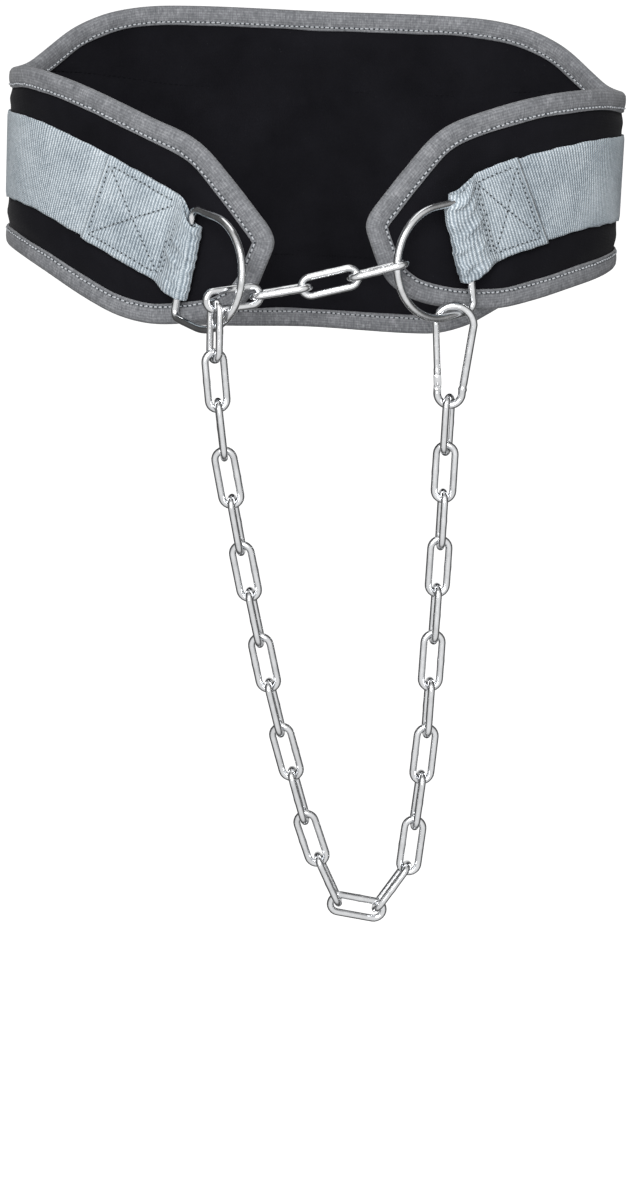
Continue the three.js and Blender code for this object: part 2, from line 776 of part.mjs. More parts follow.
// One link round the local X axis' length, flat in local XY.
function linkGeometry() {
  const path = [];
  for (const sign of [1, -1]) {
    for (let i = 0; i <= LINK_END_STEPS; i++) {
      const a = lerp(-90, 90, i / LINK_END_STEPS) * DEG;
      path.push(
        new THREE.Vector3(sign * (endCentre + endRadius * Math.cos(a)), sign * endRadius * Math.sin(a), 0),
      );
    }
  }
  return wire(path, new THREE.Vector3(0, 0, 1), LINK_WIRE, LINK_SIDES, true);
}

// Turn of a link about its own length, besides the quarter turn of the edge-on links.
const LINK_TURNS = {
  0: 0, 1: 0, 2: 0, 3: 0, 4: -31, 5: -18, 6: -5, 7: 2, 15: 0, 16: 0, 17: 0, 18: 0, 19: 0, 27: -6, 28: -20,
};
const USUAL_TURN = 8;

function chainLinks(material) {
  const group = new THREE.Group();
  group.name = "chain";
  const vertices = chainVertices();
  const geometry = linkGeometry();
  const front = new THREE.Vector3(0, -1, 0);
  for (let i = 0; i < LINK_COUNT; i++) {
    const axis = vertices[i + 1].clone().sub(vertices[i]).normalize();
    const across = front.clone().cross(axis).normalize();
    const depth = axis.clone().cross(across).normalize();
    const turn = (LINK_TURNS[i] ?? USUAL_TURN) * DEG;
    const angle = (isEdgeOn(i) ? Math.PI / 2 : 0) + turn;
    const width = across.clone().multiplyScalar(Math.cos(angle)).addScaledVector(depth, Math.sin(angle));
    const normal = axis.clone().cross(width).normalize();
    const mesh = new THREE.Mesh(geometry, material);
    mesh.name = `chain_link_${String(i + 1).padStart(2, "0")}`;
    mesh.quaternion.setFromRotationMatrix(new THREE.Matrix4().makeBasis(axis, width, normal));
    mesh.position.copy(vertices[i]).addScaledVector(axis, halfSpan(i, i));
    group.add(mesh);
  }
  return group;
}

// Assembly.

const material = (color, roughness, metalness = 0) =>
  new THREE.MeshStandardMaterial({ color, roughness, metalness, side: THREE.FrontSide });
const cloth = material(0x17171c, 0.9);
const tape = material(0x74777c, 0.85);
const webbing = material(0x94a3ad, 0.85);
const steel = material(0xc8ccd0, 0.28, 1);

function piece(name, geometry, surface) {
  const mesh = new THREE.Mesh(geometry, surface);
  mesh.name = name;
  return mesh;
}

const group = new THREE.Group();
group.name = "dip_belt";

const belt = new THREE.Group();
belt.name = "belt";
belt.add(piece("belt_body", beltBody(), cloth));
belt.add(piece("edge_binding", edgeBinding(), tape));
belt.add(piece("webbing_strap", webbingStrap(), webbing));
belt.add(piece("d_ring_left", dRing(RINGS.left), steel));
belt.add(piece("d_ring_right", dRing(RINGS.right), steel));
group.add(belt);

const hook = snapHook();
const hookGroup = new THREE.Group();
hookGroup.name = "snap_hook";
hookGroup.add(piece("snap_hook_body", hook.body, steel));
hookGroup.add(piece("snap_hook_gate", hook.gate, steel));
hookGroup.add(piece("snap_hook_pin", hook.pin, steel));
group.add(hookGroup);

group.add(chainLinks(steel));

export default group;
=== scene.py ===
import functools
import math

import bmesh
import bpy
import numpy as np
from mathutils import Matrix, Vector

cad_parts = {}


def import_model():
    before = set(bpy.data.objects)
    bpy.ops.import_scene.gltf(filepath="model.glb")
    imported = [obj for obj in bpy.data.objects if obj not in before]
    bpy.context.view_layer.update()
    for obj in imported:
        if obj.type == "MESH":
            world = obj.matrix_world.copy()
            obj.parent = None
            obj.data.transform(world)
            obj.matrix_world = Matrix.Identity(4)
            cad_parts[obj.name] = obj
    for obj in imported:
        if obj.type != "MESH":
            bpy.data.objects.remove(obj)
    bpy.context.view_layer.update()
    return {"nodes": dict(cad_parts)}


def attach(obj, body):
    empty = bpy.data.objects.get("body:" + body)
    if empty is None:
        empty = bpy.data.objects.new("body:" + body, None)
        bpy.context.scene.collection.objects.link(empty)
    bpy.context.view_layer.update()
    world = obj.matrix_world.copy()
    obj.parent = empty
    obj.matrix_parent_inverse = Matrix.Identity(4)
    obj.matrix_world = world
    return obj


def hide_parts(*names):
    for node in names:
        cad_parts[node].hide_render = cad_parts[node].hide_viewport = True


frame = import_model()

MM = 0.001
DEG = math.pi / 180
ROOT = "belt"
GATE = "gate"

# Sizes of the belt, in millimetres, as in the solids.
HALF_LENGTH = 437.0
PLAN_SMOOTHING = 30.0
DEPTH_CENTRE = -114.0
WALL = 5.0
WALL_AT_RIM = 3.4
GAP = 0.3
PLAN = [
    (0.0, 0.0), (0.201, 12.0), (0.336, 30.0), (0.447, 62.0), (0.526, 95.0), (0.604, 122.0),
    (0.694, 141.0), (0.805, 151.0), (0.88, 154.5), (1.03, 162.0),
]
TOP_RIM = [
    (0.0, 91.0), (0.22, 91.0), (0.3, 86.5), (0.36, 77.0), (0.42, 61.5), (0.46, 54.5), (0.54, 53.5),
    (0.64, 56.3), (0.75, 52.7), (0.86, 41.0), (0.905, 31.5), (0.945, 13.0), (0.993, -13.0),
]
BOTTOM_RIM = [
    (0.0, -111.5), (0.18, -112.0), (0.235, -105.0), (0.27, -95.5), (0.33, -78.0), (0.4, -61.5),
    (0.46, -54.5), (0.55, -53.0), (0.66, -57.8), (0.75, -65.0), (0.8, -68.3), (0.86, -68.0),
    (0.93, -61.5), (0.963, -52.5),
]
TIP_HIGH = (0.999, -20.5)
TIP_LOW = (0.979, -42.0)
LEFT_DROOP = 11.0
LEFT_DROOP_FROM = 0.58
LEFT_DROOP_TO = 0.87
LEFT_BOTTOM_FACTOR = 1.4
LEFT_REACH = 9.0
LEFT_REACH_FROM = 0.85

BINDING_LEG = 12.0
BINDING_TAPE = 1.1
BINDING_FACET_GAP = 0.55

STRAP_THICK = 1.6
STRAP_WIDTH = 51.0
STRAP_NARROW = 12.0
STRAP_TILT = 16.0
STRAP_FOLD_SHARE = 0.762
STRAP_LAYER_GAP = 0.4
STRAP_CENTRE = [
    (0.0, -10.0), (0.3, -7.0), (0.45, 0.0), (0.575, 2.3), (0.66, 1.3), (0.725, -2.9), (0.77, -7.0),
    (0.81, -11.9), (0.847, -17.5), (0.886, -25.0), (0.96, -40.0),
]

RING_WIRE = 2.25
RING_HALF_HEIGHT = 31.5
RING_DEPTH = 52.0
RING_CORNER = 5.0
RING_STAND = 1.5

# Each ring: its place (share along the belt, height z), the wire's lean and swing in degrees, and the webbing
# held by it: rise, tilt and loop width, slack and skew of the solid's loop, then the finer form of that end.
RINGS = {
    "left": dict(
        side=-1, share=0.896, z=-45.7, lean=9.5, swing=25, rise=1, tilt=12, loop=43, slack=2.6, skew=0,
        shoulder=0, corner=1.5, weave=4, folds=1.4, seed=47),
    "right": dict(
        side=1, share=0.8605, z=-36, lean=9, swing=11, rise=4.4, tilt=13, loop=37, slack=3.4, skew=4,
        shoulder=14.0, corner=5.0, weave=15, folds=1.7, seed=41),
}


# Small helpers.

def lerp(a, b, t):
    return a + (b - a) * t


def clamp01(t):
    return min(1.0, max(0.0, t))


def smooth(t):
    t = clamp01(t)
    return t * t * (3 - 2 * t)


def along(table, share):
    """Value of a table at a share, on a smooth curve through its rows."""
    last = len(table) - 1
    i = next((k for k, row in enumerate(table) if row[0] >= share), None)
    i = last - 1 if i is None else max(0, i - 1)

    def slope(k):
        a, b = table[max(0, k - 1)], table[min(last, k + 1)]
        return (b[1] - a[1]) / (b[0] - a[0])

    a, b = table[i], table[i + 1]
    w = b[0] - a[0]
    t = (share - a[0]) / w
    h = t * t * (3 - 2 * t)
    rise = slope(i) * w * (t * (1 - t) ** 2) + slope(i + 1) * w * (t * t * (t - 1))
    return lerp(a[1], b[1], h) + rise


def angles(start, end, count):
    """Radians from start to end, given in degrees, in count even steps."""
    return [lerp(start, end, i / count) * DEG for i in range(count + 1)]


def heading_at(s):
    end = PLAN[-1][0]
    total = 0.0
    for k in range(7):
        at = s + PLAN_SMOOTHING * (2 * k / 6 - 1)
        share = min(end, abs(at) / HALF_LENGTH)
        i = max(1, next(j for j, row in enumerate(PLAN) if row[0] >= share))
        low, high = PLAN[i - 1], PLAN[i]
        t = (share - low[0]) / (high[0] - low[0])
        total += math.copysign(1, at) * lerp(low[1], high[1], t) if at else 0.0
    return total / 7 * DEG


plan_x, plan_y, plan_h = [0.0], [0.0], [0.0]
for step in range(1, int(HALF_LENGTH * 1.04) + 1):
    mid = heading_at(step - 0.5)
    plan_x.append(plan_x[-1] + math.cos(mid))
    plan_y.append(plan_y[-1] - math.sin(mid))
    plan_h.append(heading_at(step))
PLAN_X, PLAN_Y, PLAN_H = np.array(plan_x), np.array(plan_y), np.array(plan_h)


def place_many(s, z, n):
    """Points in metres from arrays of flat length, height and offset from the wall's middle."""
    s, z, n = np.broadcast_arrays(np.asarray(s, float), np.asarray(z, float), np.asarray(n, float))
    at = np.clip(np.abs(s), 0, len(PLAN_X) - 1.001)
    index = np.arange(len(PLAN_X))
    h = np.interp(at, index, PLAN_H)
    side = np.where(s < 0, -1.0, 1.0)
    x = side * (np.interp(at, index, PLAN_X) + np.sin(h) * n)
    y = np.interp(at, index, PLAN_Y) + np.cos(h) * n - DEPTH_CENTRE
    return np.stack([x, y, z], axis=-1) * MM


def place(s, z, n):
    return Vector(place_many(s, z, n)) / MM


def left_droop(share):
    return LEFT_DROOP * smooth((share - LEFT_DROOP_FROM) / (LEFT_DROOP_TO - LEFT_DROOP_FROM))


def left_reach(share):
    return LEFT_REACH * max(0.0, (share - LEFT_REACH_FROM) / (1 - LEFT_REACH_FROM))


def flat(side, share, z, factor=1.0):
    if side > 0:
        return share * HALF_LENGTH, z
    return -(share * HALF_LENGTH + left_reach(share)), z - left_droop(share) * factor


# Outline of the belt in the flat, at close steps.
TOP_END = TOP_RIM[-1][0]
BOTTOM_END = BOTTOM_RIM[-1][0]
FINE = 110


def rim_columns(side):
    columns = []
    for k in range(FINE + 1):
        high = TOP_END * k / FINE
        low = high - (TOP_END - BOTTOM_END) * smooth((high - 0.8) / (TOP_END - 0.8))
        columns.append((flat(side, high, along(TOP_RIM, high)),
                        flat(side, low, along(BOTTOM_RIM, low), LEFT_BOTTOM_FACTOR)))
    tip_high = flat(side, *TIP_HIGH)
    tip_low = flat(side, *TIP_LOW, LEFT_BOTTOM_FACTOR)
    last_high, last_low = columns[-1]
    for t in (0.34, 0.67, 1.0):
        columns.append((tuple(lerp(a, b, t) for a, b in zip(last_high, tip_high)),
                        tuple(lerp(a, b, t) for a, b in zip(last_low, tip_low))))
    return columns


right_columns, left_columns = rim_columns(1), rim_columns(-1)
COLUMNS = left_columns[1:][::-1] + right_columns
TOP = np.array([c[0] for c in COLUMNS])
BOTTOM = np.array([c[1] for c in COLUMNS])


def resample(points, step):
    """A closed line's points at even steps."""
    loop = np.vstack([points, points[:1]])
    length = np.r_[0, np.cumsum(np.hypot(*np.diff(loop, axis=0).T))]
    count = int(round(length[-1] / step))
    at = np.linspace(0, length[-1], count, endpoint=False)
    return np.stack([np.interp(at, length, loop[:, 0]), np.interp(at, length, loop[:, 1])], axis=1)


def closed_outline(step):
    """Closed outline with rounded tips, at even steps, as flat (s, z) rows."""
    right_tip = np.linspace(TOP[-1], BOTTOM[-1], 8)[1:-1]
    left_tip = np.linspace(BOTTOM[0], TOP[0], 8)[1:-1]
    points = resample(np.concatenate([TOP, right_tip, BOTTOM[::-1], left_tip]), 1.5)
    for _ in range(9):
        points = (np.roll(points, 1, 0) + 2 * points + np.roll(points, -1, 0)) / 4
    return resample(points, step)


def inward_of(points):
    after = np.roll(points, -1, 0) - points
    before = points - np.roll(points, 1, 0)
    t = after / np.hypot(*after.T)[:, None] + before / np.hypot(*before.T)[:, None]
    t /= np.hypot(*t.T)[:, None]
    return np.stack([t[:, 1], -t[:, 0]], axis=1)


RIM = closed_outline(1.5)
RIM_IN = inward_of(RIM)


def rim_distance(points):
    """Distance in the flat from each point to the outline."""
    a = RIM
    b = np.roll(RIM, -1, 0)
    ab = b - a
    out = np.empty(len(points))
    for lo in range(0, len(points), 2000):
        p = points[lo:lo + 2000, None, :]
        t = np.clip(((p - a) * ab).sum(-1) / (ab * ab).sum(-1), 0, 1)
        q = a + t[..., None] * ab
        out[lo:lo + 2000] = np.sqrt(((p - q) ** 2).sum(-1)).min(1)
    return out


@functools.lru_cache(None)
def wave_terms(seed, scale):
    """Direction, frequency and phase of a seed's waves."""
    rng = np.random.default_rng(seed)
    return [(rng.uniform(0, math.pi), rng.uniform(0.6, 1.7) * 2 * math.pi / scale, rng.uniform(0, 6.3))
            for _ in range(7)]


def wave(x, y, seed, scale):
    """Smooth repeatable noise from a few waves, about -1 to 1."""
    total = np.zeros(np.broadcast(x, y).shape)
    for a, f, phase in wave_terms(seed, scale):
        total = total + np.sin((np.cos(a) * x + np.sin(a) * y) * f + phase)
    return total / 3.2


def new_mesh(name, verts, faces, uv=None):
    mesh = bpy.data.meshes.new(name)
    mesh.from_pydata([tuple(v) for v in np.asarray(verts)], [], [tuple(int(i) for i in f) for f in faces])
    if uv is not None:
        layer = mesh.uv_layers.new(name="cloth")
        loops = np.empty(len(mesh.loops), dtype=np.int64)
        mesh.loops.foreach_get("vertex_index", loops)
        layer.data.foreach_set("uv", np.asarray(uv, float)[loops].ravel())
    mesh.polygons.foreach_set("use_smooth", [True] * len(mesh.polygons))
    mesh.validate()
    mesh.update()
    obj = bpy.data.objects.new(name, mesh)
    bpy.context.scene.collection.objects.link(obj)
    return obj


def outwards(obj, weld=None):
    """Turns the faces outwards, after joining vertices closer than weld, in metres."""
    bm = bmesh.new()
    bm.from_mesh(obj.data)
    if weld:
        bmesh.ops.remove_doubles(bm, verts=bm.verts, dist=weld)
    bmesh.ops.recalc_face_normals(bm, faces=bm.faces)
    bm.to_mesh(obj.data)
    bm.free()
    return obj


def grid_faces(rows, cols, close_rows=False, close_cols=False, offset=0, flip=False):
    faces = []
    for i in range(rows if close_rows else rows - 1):
        for j in range(cols if close_cols else cols - 1):
            a = i * cols + j
            b = i * cols + (j + 1) % cols
            c = ((i + 1) % rows) * cols + (j + 1) % cols
            d = ((i + 1) % rows) * cols + j
            quad = [a + offset, b + offset, c + offset, d + offset]
            faces.append(quad[::-1] if flip else quad)
    return faces


def tube(name, points, radii, sides=16, closed=False):
    """Round wire along points in metres, with one radius for all of it or one a point."""
    pts = [Vector(p) for p in points]
    n = len(pts)
    radii = radii if isinstance(radii, list) else [radii] * n
    tangents = []
    for i in range(n):
        a = pts[i - 1] if i or closed else pts[0]
        b = pts[(i + 1) % n] if i < n - 1 or closed else pts[-1]
        tangents.append((b - a).normalized())
    normal = tangents[0].orthogonal().normalized()
    frames = []
    for i in range(n):
        normal = (normal - tangents[i] * normal.dot(tangents[i])).normalized()
        frames.append((normal.copy(), tangents[i].cross(normal)))
    twist = 0.0
    if closed:
        start = (frames[0][0] - tangents[-1] * frames[0][0].dot(tangents[-1])).normalized()
        twist = math.atan2(start.dot(frames[-1][1]), start.dot(frames[-1][0]))
    verts = []
    for i in range(n):
        turn = twist * i / n
        for k in range(sides):
            a = 2 * math.pi * k / sides + turn
            verts.append(pts[i] + (frames[i][0] * math.cos(a) + frames[i][1] * math.sin(a)) * radii[i])
    faces = grid_faces(n, sides, close_rows=closed, close_cols=True)
    if not closed:
        faces.append(list(range(sides))[::-1])
        faces.append([(n - 1) * sides + k for k in range(sides)])
    return outwards(new_mesh(name, verts, faces))


# Materials.

class Graph:
    """A node tree, with short ways to add to it."""

    def __init__(self, tree):
        self.nodes, self.links = tree.nodes, tree.links
        self.coords = self.add("TexCoord")

    def add(self, kind, **values):
        made = self.nodes.new("ShaderNode" + kind)
        for key, value in values.items():
            if key in made.inputs:
                made.inputs[key].default_value = value
            else:
                setattr(made, key, value)
        return made

    def put(self, value, socket):
        """Links an output to a socket, or sets the socket to a number or colour."""
        if isinstance(value, bpy.types.NodeSocket):
            self.links.new(value, socket)
        elif value is not None:
            socket.default_value = value

    def math(self, operation, a, b=None):
        made = self.add("Math", operation=operation)
        self.put(a, made.inputs[0])
        self.put(b, made.inputs[1])
        return made.outputs[0]

    def blend(self, a, share_a, b, share_b):
        return self.math("ADD", self.math("MULTIPLY", a, share_a), self.math("MULTIPLY", b, share_b))

    def sine(self, value, scale):
        """A wave from 0 to 1 along a coordinate, scale waves a unit."""
        sine = self.math("SINE", self.math("MULTIPLY", value, scale * 2 * math.pi))
        return self.math("ADD", self.math("MULTIPLY", sine, 0.5), 0.5)

    def noise(self, scale, detail, roughness=0.5, vector=None):
        made = self.add("TexNoise", Scale=scale, Detail=detail, Roughness=roughness)
        self.put(self.coords.outputs["Object"] if vector is None else vector, made.inputs["Vector"])
        return made.outputs["Fac"]

    def ramp(self, value, stops):
        """Colour of a value, by stops of (position, colour or grey)."""
        made = self.add("ValToRGB")
        elements = made.color_ramp.elements
        while len(elements) < len(stops):
            elements.new(0.5)
        for element, (at, color) in zip(elements, stops):
            element.position = at
            element.color = (*(color if isinstance(color, tuple) else (color,) * 3), 1)
        self.put(value, made.inputs["Fac"])
        return made.outputs[0]

    def mix(self, factor, a, b, blend_type="MIX"):
        made = self.add("Mix", data_type="RGBA", blend_type=blend_type)
        for slot, value in ((0, factor), (6, a), (7, b)):
            self.put(value, made.inputs[slot])
        return made.outputs[2]

    def split(self, vector):
        made = self.add("SeparateXYZ")
        self.put(vector, made.inputs[0])
        return made.outputs


class Surface(Graph):
    """A material with one principled shader. Plain values are set on the shader's own sockets."""

    def __init__(self, name, **values):
        self.mat = bpy.data.materials.new(name)
        self.mat.use_nodes = True
        super().__init__(self.mat.node_tree)
        self.bsdf = self.nodes["Principled BSDF"]
        self.feed(**values)

    def feed(self, **values):
        for key, value in values.items():
            self.put(value, self.bsdf.inputs[key.replace("_", " ")])
        return self.mat

    def cloth_axes(self):
        """The flat cloth's coordinates in millimetres: both, lengthwise and crosswise."""
        both = self.add("UVMap", uv_map="cloth").outputs[0]
        return both, *self.split(both)[:2]

    def bumps(self, *rows):
        """Bumps on each other, as rows of (height, strength, distance in metres)."""
        normal = None
        for height, strength, distance in rows:
            made = self.add("Bump", Strength=strength, Distance=distance)
            self.put(height, made.inputs["Height"])
            self.put(normal, made.inputs["Normal"])
            normal = made.outputs["Normal"]
        return normal


def cloth_material():
    """Black stretch cloth over foam: a fine knit with a soft sheen and faint pale lint."""
    g = Surface(
        "black_knit_cloth", Roughness=0.9, Sheen_Weight=0.05, Sheen_Roughness=0.4, Specular_IOR_Level=0.10)
    _, lengthwise, crosswise = g.cloth_axes()
    knit = g.math("MULTIPLY", g.sine(lengthwise, 0.95), g.sine(crosswise, 1.15))
    fine = g.noise(900.0, 3.0)
    broad = g.noise(22.0, 5.0, 0.6)
    tone = g.ramp(broad, [(0.3, (0.0032, 0.0031, 0.0046)), (0.72, (0.0075, 0.0074, 0.0100))])
    lint = g.ramp(fine, [(0.72, 0.0), (0.86, (0.03, 0.03, 0.033))])
    return g.feed(
        Base_Color=g.mix(1.0, tone, lint, "ADD"),
        Normal=g.bumps((knit, 0.35, 0.0003), (fine, 0.25, 0.0003), (broad, 0.30, 0.002)))


def tape_material():
    """Grey woven tape: irregular fine cross threads, faint lengthwise lines and an uneven worn tone."""
    g = Surface(
        "grey_binding_tape", Roughness=0.78, Sheen_Weight=0.12, Sheen_Roughness=0.5, Specular_IOR_Level=0.3)
    flat_cloth, _, crosswise = g.cloth_axes()
    blotch = g.noise(95.0, 5.0, 0.7)
    grain = g.noise(520.0, 3.0, 0.7)
    fuzz = g.noise(1300.0, 2.0)
    stretch = g.add("Mapping", Scale=(1.5, 0.16, 1.0))
    g.put(flat_cloth, stretch.inputs[0])
    threads = g.noise(1.0, 2.0, 0.6, stretch.outputs[0])
    weave = g.blend(threads, 0.85, g.sine(crosswise, 0.55), 0.15)
    worn = g.blend(blotch, 0.45, grain, 0.55)
    tone = g.ramp(g.blend(weave, 0.38, worn, 0.62), [
        (0.34, (0.080, 0.083, 0.090)), (0.5, (0.165, 0.170, 0.182)), (0.66, (0.32, 0.325, 0.34))])
    return g.feed(
        Base_Color=tone, Normal=g.bumps((weave, 0.5, 0.0006), (grain, 0.5, 0.0006), (fuzz, 0.3, 0.0003)))


def webbing_material():
    """Blue-grey webbing: cross ribs, each broken into small checks by the warp, with bright worn yarns."""
    g = Surface(
        "ribbed_webbing", Roughness=0.68, Sheen_Weight=0.15, Sheen_Roughness=0.4, Specular_IOR_Level=0.35)
    _, lengthwise, crosswise = g.cloth_axes()
    wobble = g.noise(60.0, 2.0)
    blotch = g.noise(34.0, 5.0, 0.65)
    yarn = g.noise(620.0, 3.0, 0.7)
    fuzz = g.noise(1500.0, 2.0)
    wandering = g.math("ADD", lengthwise, g.math("MULTIPLY", wobble, 1.1))
    ribs = g.sine(wandering, 0.56)
    slant = g.math("ADD", crosswise, g.math("MULTIPLY", wandering, 0.55))
    weave = g.blend(ribs, 0.55, g.math("MULTIPLY", g.sine(slant, 0.70), ribs), 0.45)
    worn = g.blend(blotch, 0.45, yarn, 0.55)
    tone = g.ramp(g.blend(weave, 0.29, worn, 0.71), [
        (0.28, (0.12, 0.15, 0.18)), (0.47, (0.36, 0.42, 0.465)), (0.66, (0.68, 0.73, 0.765))])
    return g.feed(
        Base_Color=tone, Normal=g.bumps((weave, 0.6, 0.0008), (yarn, 0.5, 0.0005), (fuzz, 0.3, 0.0003)))


def thread_material(name, color, sheen=0.2):
    """Twisted sewing thread. Without sheen it is matt; the dark sheen-less copy set in each needle hole is
    painted shade.
    """
    g = Surface(name, Roughness=0.6, Sheen_Weight=sheen, Specular_IOR_Level=0.3 if sheen else 0.03)
    ply = g.noise(2200.0, 2.0)
    tone = g.ramp(ply, [(0.3, tuple(c * 0.72 for c in color)), (0.7, color)])
    return g.feed(Base_Color=tone, Normal=g.bumps((ply, 0.4, 0.0002)))


def steel_material(name, tint, rough):
    """Bright zinc plating over drawn wire: cloudy tone and roughness, small pits."""
    g = Surface(name, Metallic=1.0)
    cloud = g.noise(160.0, 4.0, 0.6)
    pits = g.noise(700.0, 3.0)
    return g.feed(
        Base_Color=g.ramp(cloud, [(0.25, tuple(c * 0.80 for c in tint)), (0.62, tint)]),
        Roughness=g.ramp(cloud, [(0.3, rough[0]), (0.75, rough[1])]),
        Normal=g.bumps((pits, 0.10, 0.0002), (cloud, 0.16, 0.0006)))


CLOTH = cloth_material()
TAPE = tape_material()
WEBBING = webbing_material()
THREAD_LIGHT = thread_material("pale_thread", (0.50, 0.52, 0.55))
THREAD_BLACK = thread_material("black_thread", (0.007, 0.007, 0.009), 0.0)
THREAD_GREY = thread_material("blue_grey_thread", (0.40, 0.45, 0.49))
# The dark needle-hole dashes are painted shade set in each needle hole, not thread.
SHADE_IN_NEEDLE_HOLE = thread_material("painted_needle_hole_shade", (0.05, 0.058, 0.066), 0.0)
STEEL = steel_material("zinc_plated_wire", (0.89, 0.90, 0.915), (0.10, 0.24))
STEEL_DULL = steel_material("zinc_plated_pin", (0.70, 0.71, 0.73), (0.25, 0.42))


def finish_piece(obj, mat, replaces=(), body=ROOT):
    obj.data.materials.clear()
    obj.data.materials.append(mat)
    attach(obj, body)
    if replaces:
        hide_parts(*replaces)
    return obj


# Padded wall: a full inner face with two sewn channels across the back, and a flatter outer face.

WALL_ROWS = 56
WALL_TUCKED = 2.0
WALL_FACE_AT_RIM = 1.72
WALL_FULL_FROM = 11.5
WALL_FULL_OVER = 9.0
CENTRE_SEAM_HIGH = [(0.0, 41.0), (0.2, 41.5), (0.32, 47.0), (0.43, 49.5), (0.5, 48.0)]
CENTRE_SEAM_LOW = [(0.0, -65.0), (0.2, -64.0), (0.3, -60.0), (0.4, -55.0), (0.5, -52.0)]


def eased(value, start, width):
    """Arrays' smooth step from 0 to 1 over a width."""
    t = np.clip((value - start) / width, 0, 1)
    return t * t * (3 - 2 * t)


def padded_wall():
    t = np.linspace(0, 1, WALL_ROWS)
    t = t - 0.06 * np.sin(2 * math.pi * t)
    count = len(TOP)
    grid = BOTTOM[:, None] + (TOP - BOTTOM)[:, None] * t[None, :, None]
    points = grid.reshape(-1, 2)
    depth = rim_distance(points)
    # Rows at the outline itself are moved in under the tape.
    near = depth < WALL_TUCKED
    nearest = ((points[near][:, None, :] - RIM[None]) ** 2).sum(-1).argmin(1)
    points[near] = RIM[nearest] + RIM_IN[nearest] * WALL_TUCKED
    depth[near] = WALL_TUCKED
    s, z = points.T
    share = np.abs(s) / HALF_LENGTH
    rise = eased(depth, WALL_FULL_FROM, WALL_FULL_OVER)
    strap_z = np.array([
        along(STRAP_CENTRE, min(v, 0.96)) - (left_droop(v) if w < 0 else 0) for v, w in zip(share, s)])
    beside_strap = eased(np.abs(z - strap_z), 27.5, 8.0)
    outer = WALL_FACE_AT_RIM + rise * (0.75 + beside_strap * (0.9 + 0.35 * wave(s, z, 11, 58.0)))
    seam_high = np.array([along(CENTRE_SEAM_HIGH, min(v, 0.5)) for v in share])
    seam_low = np.array([along(CENTRE_SEAM_LOW, min(v, 0.5)) for v in share])
    fade = np.clip((0.47 - share) / 0.06, 0, 1)
    groove = (np.exp(-((z - seam_high) / 1.7) ** 2) + np.exp(-((z - seam_low) / 1.7) ** 2)) * fade
    between = 1 / (1 + np.exp(-(z - seam_low) / 2.0)) * 1 / (1 + np.exp((z - seam_high) / 2.0))
    full = 1.0 + fade * between * 0.9 + 0.45 * wave(s, z, 23, 64.0)
    inner = np.maximum(WALL_FACE_AT_RIM + rise * full - groove * 1.15 * rise, 1.5)
    verts = np.vstack([place_many(s, z, outer), place_many(s, z, -inner)])
    half, last = len(points), WALL_ROWS - 1
    faces = grid_faces(count, WALL_ROWS) + grid_faces(count, WALL_ROWS, offset=half, flip=True)
    border = [(i, 0) for i in range(count)] + [(count - 1, j) for j in range(1, WALL_ROWS)]
    border += [(i, last) for i in range(count - 2, -1, -1)] + [(0, j) for j in range(last - 1, 0, -1)]
    for (i, j), (k, l) in zip(border, border[1:] + border[:1]):
        a, b = i * WALL_ROWS + j, k * WALL_ROWS + l
        faces.append([a, b, b + half, a + half])
    uv = np.vstack([np.stack([s, z], 1), np.stack([s + 7.3, z], 1)])
    obj = outwards(new_mesh("padded_wall", verts, faces, uv), weld=2e-6)
    finish_piece(obj, CLOTH, ["belt_body"])


padded_wall()


# Edge binding: folded tape round the whole outline, a little puckered along its stitches.

TAPE_INNER = WALL_AT_RIM / 2 + BINDING_FACET_GAP - 0.2
TAPE_OUTER = TAPE_INNER + BINDING_TAPE
PUCKER_PITCH = 6.3


def tape_section():
    """Rows of (in from the edge, off the wall's middle, place on the tape's width), round the folded tape."""
    leg, inner, outer = BINDING_LEG, TAPE_INNER, TAPE_OUTER
    face = [
        (leg + 0.2, inner + 0.15, 0.0), (leg, outer - 0.2, 0.6), (leg - 0.8, outer + 0.12, 1.2),
        (leg - 1.5, outer - 0.34, 2.0), (leg - 2.2, outer - 0.32, 2.7), (leg - 3.2, outer + 0.22, 3.7),
        (leg - 5.0, outer + 0.42, 5.6), (5.0, outer + 0.45, 8.2), (2.6, outer + 0.15, 10.6),
        (1.2, outer - 0.55, 12.2), (0.35, outer - 1.6, 13.6), (0.0, 0.0, 15.6),
    ]
    inside = [(leg + 0.1, -inner, 31.5), (1.7, -inner, 31.6), (1.7, inner, 0.0), (leg + 0.1, inner, 0.0)]
    return face + [(d, -n, 31.2 - v) for d, n, v in face[-2::-1]] + inside


def binding():
    section = tape_section()
    length = np.r_[0, np.cumsum(np.hypot(*np.diff(RIM, axis=0).T))]
    verts, uv = [], []
    for point, inward, run in zip(RIM, RIM_IN, length):
        pucker = 0.22 * math.cos(2 * math.pi * run / PUCKER_PITCH) + 0.22 * float(wave(run, 0.0, 5, 17.0))
        edge = 0.35 * float(wave(run, 9.0, 8, 44.0))
        for d, n, v in section:
            bulge = pucker * (1 if 2 < d < BINDING_LEG - 1 and abs(n) >= TAPE_OUTER else 0.2)
            shift = edge * (1 if d > BINDING_LEG - 3 else 0.0)
            s, z = point + inward * (d + shift)
            verts.append(place_many(s, z, n + math.copysign(bulge, n) if n else 0.0))
            uv.append((run, v))
    obj = outwards(new_mesh("binding", np.array(verts), grid_faces(len(RIM), len(section), True, True), uv))
    finish_piece(obj, TAPE, ["edge_binding"])


binding()


